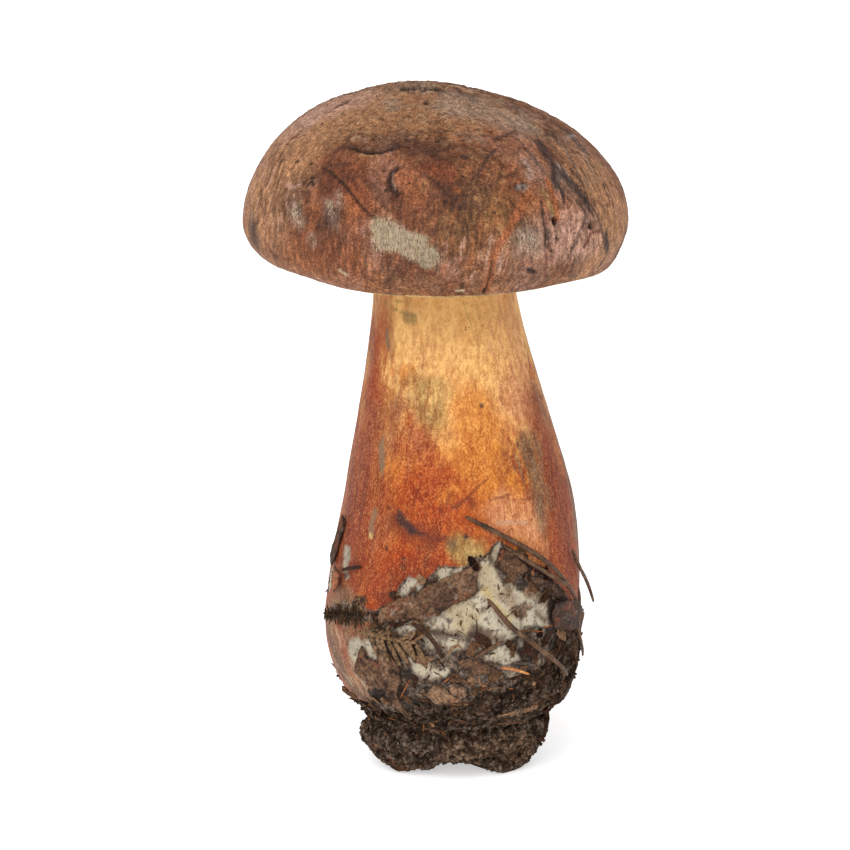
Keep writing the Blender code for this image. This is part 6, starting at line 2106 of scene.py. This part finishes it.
class BOLETE_OT_sprigs(bpy.types.Operator):
    """Make the dead spruce sprig and the strand of moss"""
    bl_idname = "bolete.sprigs"
    bl_label = "Sprigs"

    def execute(self, context):
        paints = context.scene.bolete_paints
        draw = random.Random(7)
        blades = []
        for index in range(SPRUCE_BELOW):
            share = 0.24 + 0.74 * index / (SPRUCE_BELOW - 1)
            lean = -54 + draw.uniform(-14, 14)
            blades.append((share, lean, draw.uniform(6.0, 9.6), draw.uniform(1.5, 2.0),
                           draw.uniform(0.5, 1.4), 0.3))
        for index in range(SPRUCE_ABOVE):
            share = 0.10 + 0.84 * index / (SPRUCE_ABOVE - 1)
            lean = 44 + draw.uniform(-24, 24)
            blades.append((share, lean, draw.uniform(2.8, 5.2), 1.0, draw.uniform(0.5, 1.2), 0.3))
        mesh = joined_mesh("spruce_twig", sprig_parts(SPRUCE_ROUTE, 1.2, blades))
        paint_mesh(mesh, strand_colours(mesh, paints.spruce, paints.vein, paints.crack, 97))
        spruce = litter_material("spruce_needle", 0.6, 0.8, contrast=0.5)
        new_piece("spruce_twig", mesh, ["spruce_sprig"], spruce)
        draw = random.Random(12)
        blades = []
        for _ in range(MOSS_LEAVES):
            lean = draw.choice((-1, 1)) * draw.uniform(5, 110)
            share = draw.uniform(0.01, 0.97)
            length = draw.uniform(1.0, 3.6) * (0.35 + 0.65 * min(share / 0.3, 1.0))
            rise = draw.uniform(0.0, 1.3) * min(share / 0.3, 1.0)
            blades.append((share, lean, length, draw.uniform(0.35, 0.9), rise, draw.uniform(-0.4, 0.3)))
        mesh = joined_mesh("moss_strand", sprig_parts(MOSS_ROUTE, 1.0, blades))
        paint_mesh(mesh, strand_colours(mesh, paints.moss, paints.stain, paints.crack, 99))
        moss = litter_material("moss", 0.9, 0.4, contrast=0.3, specular=0.0)
        new_piece("moss_strand", mesh, ["moss_sprig"], moss)
        return {"FINISHED"}


# Loose crumbs

def crumb_part(centre, out, size, draw):
    """One angular crumb of soil that sits on a surface."""
    shape = bmesh.new()
    bmesh.ops.create_icosphere(shape, subdivisions=1, radius=size / 2)
    squash = np.array([draw.uniform(0.6, 1.25) for _ in range(3)])
    places = np.array([tuple(vert.co) for vert in shape.verts]) * squash
    places = places * np.array([[draw.uniform(0.72, 1.2)] for _ in places])
    faces = [tuple(vert.index for vert in face.verts) for face in shape.faces]
    shape.free()
    return places + centre + out * size * 0.22, faces


class BOLETE_OT_crumbs(bpy.types.Operator):
    """Scatter crumbs of soil over the foot and round the clod"""
    bl_idname = "bolete.crumbs"
    bl_label = "Loose crumbs"

    def execute(self, context):
        paints = context.scene.bolete_paints
        sizes = context.scene.bolete_sizes
        draw = random.Random(3)
        parts = []
        kinds = []
        soil = bpy.data.objects["soil"].data
        places = places_of(soil)
        outs = outs_of(soil)
        outer = np.flatnonzero((places[:, 2] > 1.5 * MM) & (outs[:, 2] > -0.75))
        outer = outer[outer > SOIL_CUP_POINTS * SOIL_COLUMNS]
        for _ in range(int(sizes.loose_crumbs * 0.5)):
            index = outer[draw.randrange(len(outer))]
            size = sizes.crumb_size * draw.uniform(0.3, 1.2)
            parts.append(crumb_part(places[index], outs[index], size, draw))
            kinds.append(draw.random())
        places, outs = shown_places("stem_skin", "dirt", 0.5)
        while len(parts) < sizes.loose_crumbs:
            index = draw.randrange(len(places))
            size = sizes.crumb_size * draw.uniform(0.2, 0.8)
            parts.append(crumb_part(places[index], outs[index], size, draw))
            kinds.append(draw.random())
        mesh = joined_mesh("loose_crumbs", parts)
        shades = np.repeat(np.array(kinds), [len(part[0]) for part in parts])
        colours = plain(paints.soil, shades)
        colours = lay(colours, paints.stain, ease(shades, 0.5, 0.8))
        colours = lay(colours, paints.vein, ease(shades, 0.93, 0.98))
        paint_mesh(mesh, colours)
        stuff = bpy.data.objects["soil"].active_material
        new_piece("loose_crumbs", mesh, [], stuff, smooth=False)
        return {"FINISHED"}


# Small bits of litter, and the fibres of the rubbed cap

RIBBONS = (
    # paint, width in millimetres, pixels that the strip of bark, leaf or root runs along
    ("leaf", 1.7, (418, 693), (440, 697), (460, 703), (475, 703)),
    ("rot", 2.2, (557, 693), (553, 700), (547, 715), (545, 725), (543, 735), (535, 745)),
    ("taupe", 1.3, (500, 716), (510, 713), (518, 712)),
    ("vein", 1.8, (522, 712), (530, 708), (538, 705)),
    ("stain", 1.2, (495, 724), (510, 722), (527, 722)),
    ("orange", 0.6, (443, 683), (450, 677), (458, 677)),
    ("vein", 0.9, (478, 672), (480, 684), (490, 689), (503, 687)),
    # A blue-black strip in the dark gap between the long and the twin needle, partly a dark leaf and
    # partly painted shade
    ("ink", 2.6, (500, 551), (520, 559), (540, 570), (558, 580)),
    ("leaf", 0.8, (397, 634), (410, 640), (420, 635), (430, 625)),
    ("vein", 1.0, (447, 656), (452, 648), (458, 645), (463, 650)),
    ("orange", 0.8, (470, 662), (478, 660)),
    ("stain", 0.7, (565, 697), (570, 692), (576, 683)),
    ("vein", 0.5, (530, 581), (541, 589)),
    ("leaf", 0.9, (512, 634), (528, 630), (545, 633)),
    ("rot", 1.2, (505, 680), (525, 676), (548, 684)),
    ("leaf", 1.0, (452, 676), (470, 684), (480, 694)),
    ("rot", 1.5, (394, 640), (404, 652), (409, 668)),
    ("moss", 1.2, (372, 618), (385, 632), (396, 640)),
)
FLAKE_PAINTS = ("leaf", "rot", "stain", "vein", "crack", "leaf", "rot", "vein", "leaf", "needle")


def tree_of(names):
    """The surfaces of some pieces together, with their relief."""
    places = []
    faces = []
    for name in names:
        mesh = bpy.data.objects[name].data
        base = len(places)
        places += [vert.co.copy() for vert in mesh.vertices]
        faces += [[corner + base for corner in face.vertices] for face in mesh.polygons]
    return BVHTree.FromPolygons(places, faces)


def random_way(out, draw):
    """A random direction along a surface."""
    way = np.array([draw.gauss(0, 1) for _ in range(3)])
    way = way - out * (way @ out)
    return way / np.linalg.norm(way)


def flake_part(centre, out, length, width, draw):
    """One thin torn flake of leaf that lies on a surface."""
    way = random_way(out, draw)
    beside = np.cross(out, way)
    count = draw.randint(6, 9)
    turn = np.linspace(0, 2 * pi, count, endpoint=False)
    reach = np.array([draw.uniform(0.55, 1.1) for _ in turn])
    along = np.cos(turn) * reach * length / 2
    across = np.sin(turn) * reach * width / 2
    lift = draw.uniform(-0.1, 0.5) * np.abs(along) + draw.uniform(-0.15, 0.25) * along
    lift = lift - along**2 / (2 * BULB_RADIUS)
    front = centre + out * FLAKE_THICKNESS + np.outer(along, way) + np.outer(across, beside)
    front = front + np.outer(lift, out)
    back = front - out * FLAKE_THICKNESS
    middle = centre + out * 1.3 * FLAKE_THICKNESS
    places = np.concatenate((front, back, [middle], [middle - out * FLAKE_THICKNESS]))
    ring = np.arange(count)
    far = np.roll(ring, -1)
    faces = fan(2 * count, ring, False).tolist() + fan(2 * count + 1, ring + count, True).tolist()
    faces += np.stack((ring, ring + count, far + count, far), axis=1).tolist()
    return places, faces


def ribbon_part(tree, width, pixels):
    """A thin strip along pixels, bedded on the foot's surface."""
    route = cast_route(tree, pixels, 3.0)
    outs = np.array([tuple(tree.find_nearest(Vector(point))[1]) for point in route])
    outs = outs + np.roll(outs, 1, axis=0) + np.roll(outs, -1, axis=0)
    share = np.linspace(0, 1, len(route))
    sizes = width * MM * np.maximum(1 - np.abs(2 * share - 1) ** 4, 0.2)
    outs = outs / np.linalg.norm(outs, axis=1)[:, None]
    rings = strand(route + outs * RIBBON_LIFT, outs, sizes, 0.4 * sizes, 6)
    return closed_part(rings, route[0], route[-1])


def part_colours(parts, paints, names):
    """One colour for each part, from the paints' names."""
    sizes = [len(part[0]) for part in parts]
    return np.repeat(np.array([tuple(getattr(paints, name)) for name in names]), sizes, axis=0)


def shown_places(name, attribute, least):
    """Points of a piece, and their outward directions, where an attribute is strong."""
    mesh = bpy.data.objects[name].data
    shares = np.empty(len(mesh.vertices))
    mesh.attributes[attribute].data.foreach_get("value", shares)
    found = np.flatnonzero(shares > least)
    return places_of(mesh)[found], outs_of(mesh)[found]


def bare_places(places, outs):
    """Those of the points that no leaf lies over, and their outward directions."""
    leaves = tree_of([row[0] for row in LEAVES_IN_PHOTO + LEAVES_BEHIND])
    found = [
        index for index, (place, out) in enumerate(zip(places, outs))
        if leaves.ray_cast(Vector(place), Vector(out), LEAF_REACH)[0] is None
    ]
    return places[found], outs[found]


class BOLETE_OT_bits(bpy.types.Operator):
    """Scatter small flakes, strips and fibres of litter over the dirty foot"""
    bl_idname = "bolete.bits"
    bl_label = "Litter bits"

    def execute(self, context):
        paints = context.scene.bolete_paints
        draw = random.Random(23)
        tree = tree_of(("stem_skin", "soil"))
        parts = []
        names = []
        for paint, width, *pixels in RIBBONS:
            parts.append(ribbon_part(tree, width, pixels))
            names.append(paint)
        places, outs = bare_places(*shown_places("stem_skin", "dirt", 0.8))
        for _ in range(context.scene.bolete_sizes.flakes):
            index = draw.randrange(len(places))
            length = 1.6 * draw.uniform(1.0, 2.2) ** 2 * MM
            width = length * draw.uniform(0.3, 0.75)
            parts.append(flake_part(places[index], outs[index], length, width, draw))
            names.append(draw.choice(FLAKE_PAINTS))
        for _ in range(context.scene.bolete_sizes.flakes // 2):
            index = draw.randrange(len(places))
            root = places[index] + outs[index] * RIBBON_LIFT
            way = random_way(outs[index], draw)
            sizes = [draw.uniform(*span) * MM for span in ((2.5, 7.0), (0.22, 0.5), (0.0, 0.8))]
            parts.append(blade_part(root, way, outs[index], *sizes, 0.0, sides=4, stations=6))
            names.append(draw.choice(("vein", "leaf", "rot", "orange", "crack")))
        places, outs = bare_places(*shown_places("stem_skin", "flesh", 0.7))
        for _ in range(context.scene.bolete_sizes.flakes // 4):
            index = draw.randrange(len(places))
            length = 0.7 * draw.uniform(1.0, 2.1) ** 2 * MM
            width = length * draw.uniform(0.15, 0.4)
            parts.append(flake_part(places[index], outs[index], length, width, draw))
            names.append(draw.choice(("soil", "stain", "stain", "rot", "leaf")))
        mesh = joined_mesh("litter_bits", parts)
        paint_mesh(mesh, part_colours(parts, paints, names))
        crumbled = litter_material("crumbled_leaf", 0.9, 0.6, contrast=0.45, specular=0.0)
        new_piece("litter_bits", mesh, [], crumbled, smooth=False)
        return {"FINISHED"}


class BOLETE_OT_fibres(bpy.types.Operator):
    """Lay fine upright fibres over the rubbed patches of the cap"""
    bl_idname = "bolete.fibres"
    bl_label = "Cap fibres"

    def execute(self, context):
        paints = context.scene.bolete_paints
        draw = random.Random(31)
        places, outs = shown_places("cap_skin", "fibre", 0.35)
        parts = []
        names = []
        for _ in range(context.scene.bolete_sizes.cap_fibres):
            index = draw.randrange(len(places))
            out = outs[index]
            way = np.array((draw.uniform(-0.35, 0.25), 0.0, draw.choice((-1.0, 1.0))))
            way = way - out * (way @ out)
            way /= np.linalg.norm(way)
            length = draw.uniform(1.4, 3.6) * MM
            root = places[index] - way * length / 2
            sizes = [draw.uniform(*span) * MM for span in ((0.08, 0.15), (0.0, 0.1))]
            parts.append(blade_part(root, way, out, length, *sizes, 0.0, sides=3, stations=5))
            names.append(draw.choice(("cream", "cream", "cream", "haze", "vein")))
        mesh = joined_mesh("cap_fibres", parts)
        paint_mesh(mesh, part_colours(parts, paints, names))
        dry = litter_material("cap_fibre", 0.9, 0.5, contrast=0.15, depth=0.02, specular=0.0)
        new_piece("cap_fibres", mesh, [], dry)
        return {"FINISHED"}


# Stage

FLOOR_REACH = 6.0
FLOOR_DROP = 0.2 * MM


class BOLETE_OT_stage(bpy.types.Operator):
    """Make the pale floor, the soft studio light and the photograph's camera"""
    bl_idname = "bolete.stage"
    bl_label = "Stage"

    def execute(self, context):
        self.floor()
        self.lights(context)
        back = camera_axes()[0]
        lens = bpy.data.cameras.new("photo_camera")
        lens.lens = LENS
        lens.sensor_width = SENSOR
        lens.clip_start = 0.05
        camera = bpy.data.objects.new("photo_camera", lens)
        camera.location = PHOTO_TARGET + back * PHOTO_DISTANCE
        camera.rotation_euler = (-back).to_track_quat("-Z", "Y").to_euler()
        context.scene.collection.objects.link(camera)
        context.scene.camera = camera
        context.scene.view_settings.view_transform = "Standard"
        return {"FINISHED"}

    def floor(self):
        """A wide pale floor, just under the clod."""
        corners = [(-1, -1), (1, -1), (1, 1), (-1, 1)]
        corners = [(x * FLOOR_REACH, y * FLOOR_REACH, -FLOOR_DROP) for x, y in corners]
        mesh = bpy.data.meshes.new("floor")
        mesh.from_pydata(corners, [], [(0, 1, 2, 3)])
        pale = bpy.data.materials.new("pale_floor")
        pale.use_nodes = True
        shader = pale.node_tree.nodes["Principled BSDF"]
        shader.inputs["Base Color"].default_value = (0.9, 0.9, 0.9, 1)
        shader.inputs["Roughness"].default_value = 0.9
        shader.inputs["Specular IOR Level"].default_value = 0.0
        shader.inputs["Emission Color"].default_value = (1, 1, 1, 1)
        shader.inputs["Emission Strength"].default_value = FLOOR_GLOW
        mesh.materials.append(pale)
        floor = bpy.data.objects.new("floor", mesh)
        bpy.context.scene.collection.objects.link(floor)

    def lights(self, context):
        """A soft sun from the front left, and a pale room that is brightest at its horizon."""
        world = bpy.data.worlds.new("studio")
        world.use_nodes = True
        nodes = world.node_tree.nodes
        links = world.node_tree.links
        heading = nodes.new("ShaderNodeSeparateXYZ")
        links.new(nodes.new("ShaderNodeTexCoord").outputs["Generated"], heading.inputs["Vector"])
        height = nodes.new("ShaderNodeMapRange")
        links.new(heading.outputs["Z"], height.inputs["Value"])
        for name, value in (("From Min", 0.02), ("From Max", 0.3), ("To Min", HORIZON_LIGHT),
                            ("To Max", CEILING_LIGHT)):
            height.inputs[name].default_value = value
        ground = nodes["Background"]
        ground.inputs["Color"].default_value = (1, 1, 1, 1)
        links.new(height.outputs["Result"], ground.inputs["Strength"])
        context.scene.world = world
        light = bpy.data.lights.new("key", "SUN")
        light.energy = SUN_LIGHT
        light.angle = SUN_SPREAD
        lamp = bpy.data.objects.new("key", light)
        away = Vector((-sin(SUN_LEFT), -cos(SUN_LEFT), 0)) * cos(SUN_ELEVATION)
        away.z = sin(SUN_ELEVATION)
        lamp.rotation_euler = away.to_track_quat("Z", "Y").to_euler()
        context.scene.collection.objects.link(lamp)


class BOLETE_PT_panel(bpy.types.Panel):
    """Sizes, colours and steps of the bolete mushroom"""
    bl_idname = "BOLETE_PT_panel"
    bl_label = "Bolete mushroom"
    bl_space_type = "VIEW_3D"
    bl_region_type = "UI"
    bl_category = "Bolete"

    def draw(self, context):
        for group in (context.scene.bolete_sizes, context.scene.bolete_paints):
            box = self.layout.box()
            for name in group.__annotations__:
                box.prop(group, name)
        for step in STEPS:
            self.layout.operator(step.bl_idname)


STEPS = (
    BOLETE_OT_cap, BOLETE_OT_fibres, BOLETE_OT_tubes, BOLETE_OT_stem, BOLETE_OT_soil,
    BOLETE_OT_leaves, BOLETE_OT_needles, BOLETE_OT_twigs, BOLETE_OT_sprigs, BOLETE_OT_crumbs,
    BOLETE_OT_bits, BOLETE_OT_stage,
)
CLASSES = (BoleteSizes, BoletePaints, *STEPS, BOLETE_PT_panel)


def register():
    for item in CLASSES:
        bpy.utils.register_class(item)
    bpy.types.Scene.bolete_sizes = PointerProperty(type=BoleteSizes)
    bpy.types.Scene.bolete_paints = PointerProperty(type=BoletePaints)


def unregister():
    del bpy.types.Scene.bolete_paints
    del bpy.types.Scene.bolete_sizes
    for item in reversed(CLASSES):
        bpy.utils.unregister_class(item)


def main():
    register()
    for step in STEPS:
        group, name = step.bl_idname.split(".")
        getattr(getattr(bpy.ops, group), name)()
    bpy.context.view_layer.update()


if __name__ == "__main__":
    main()
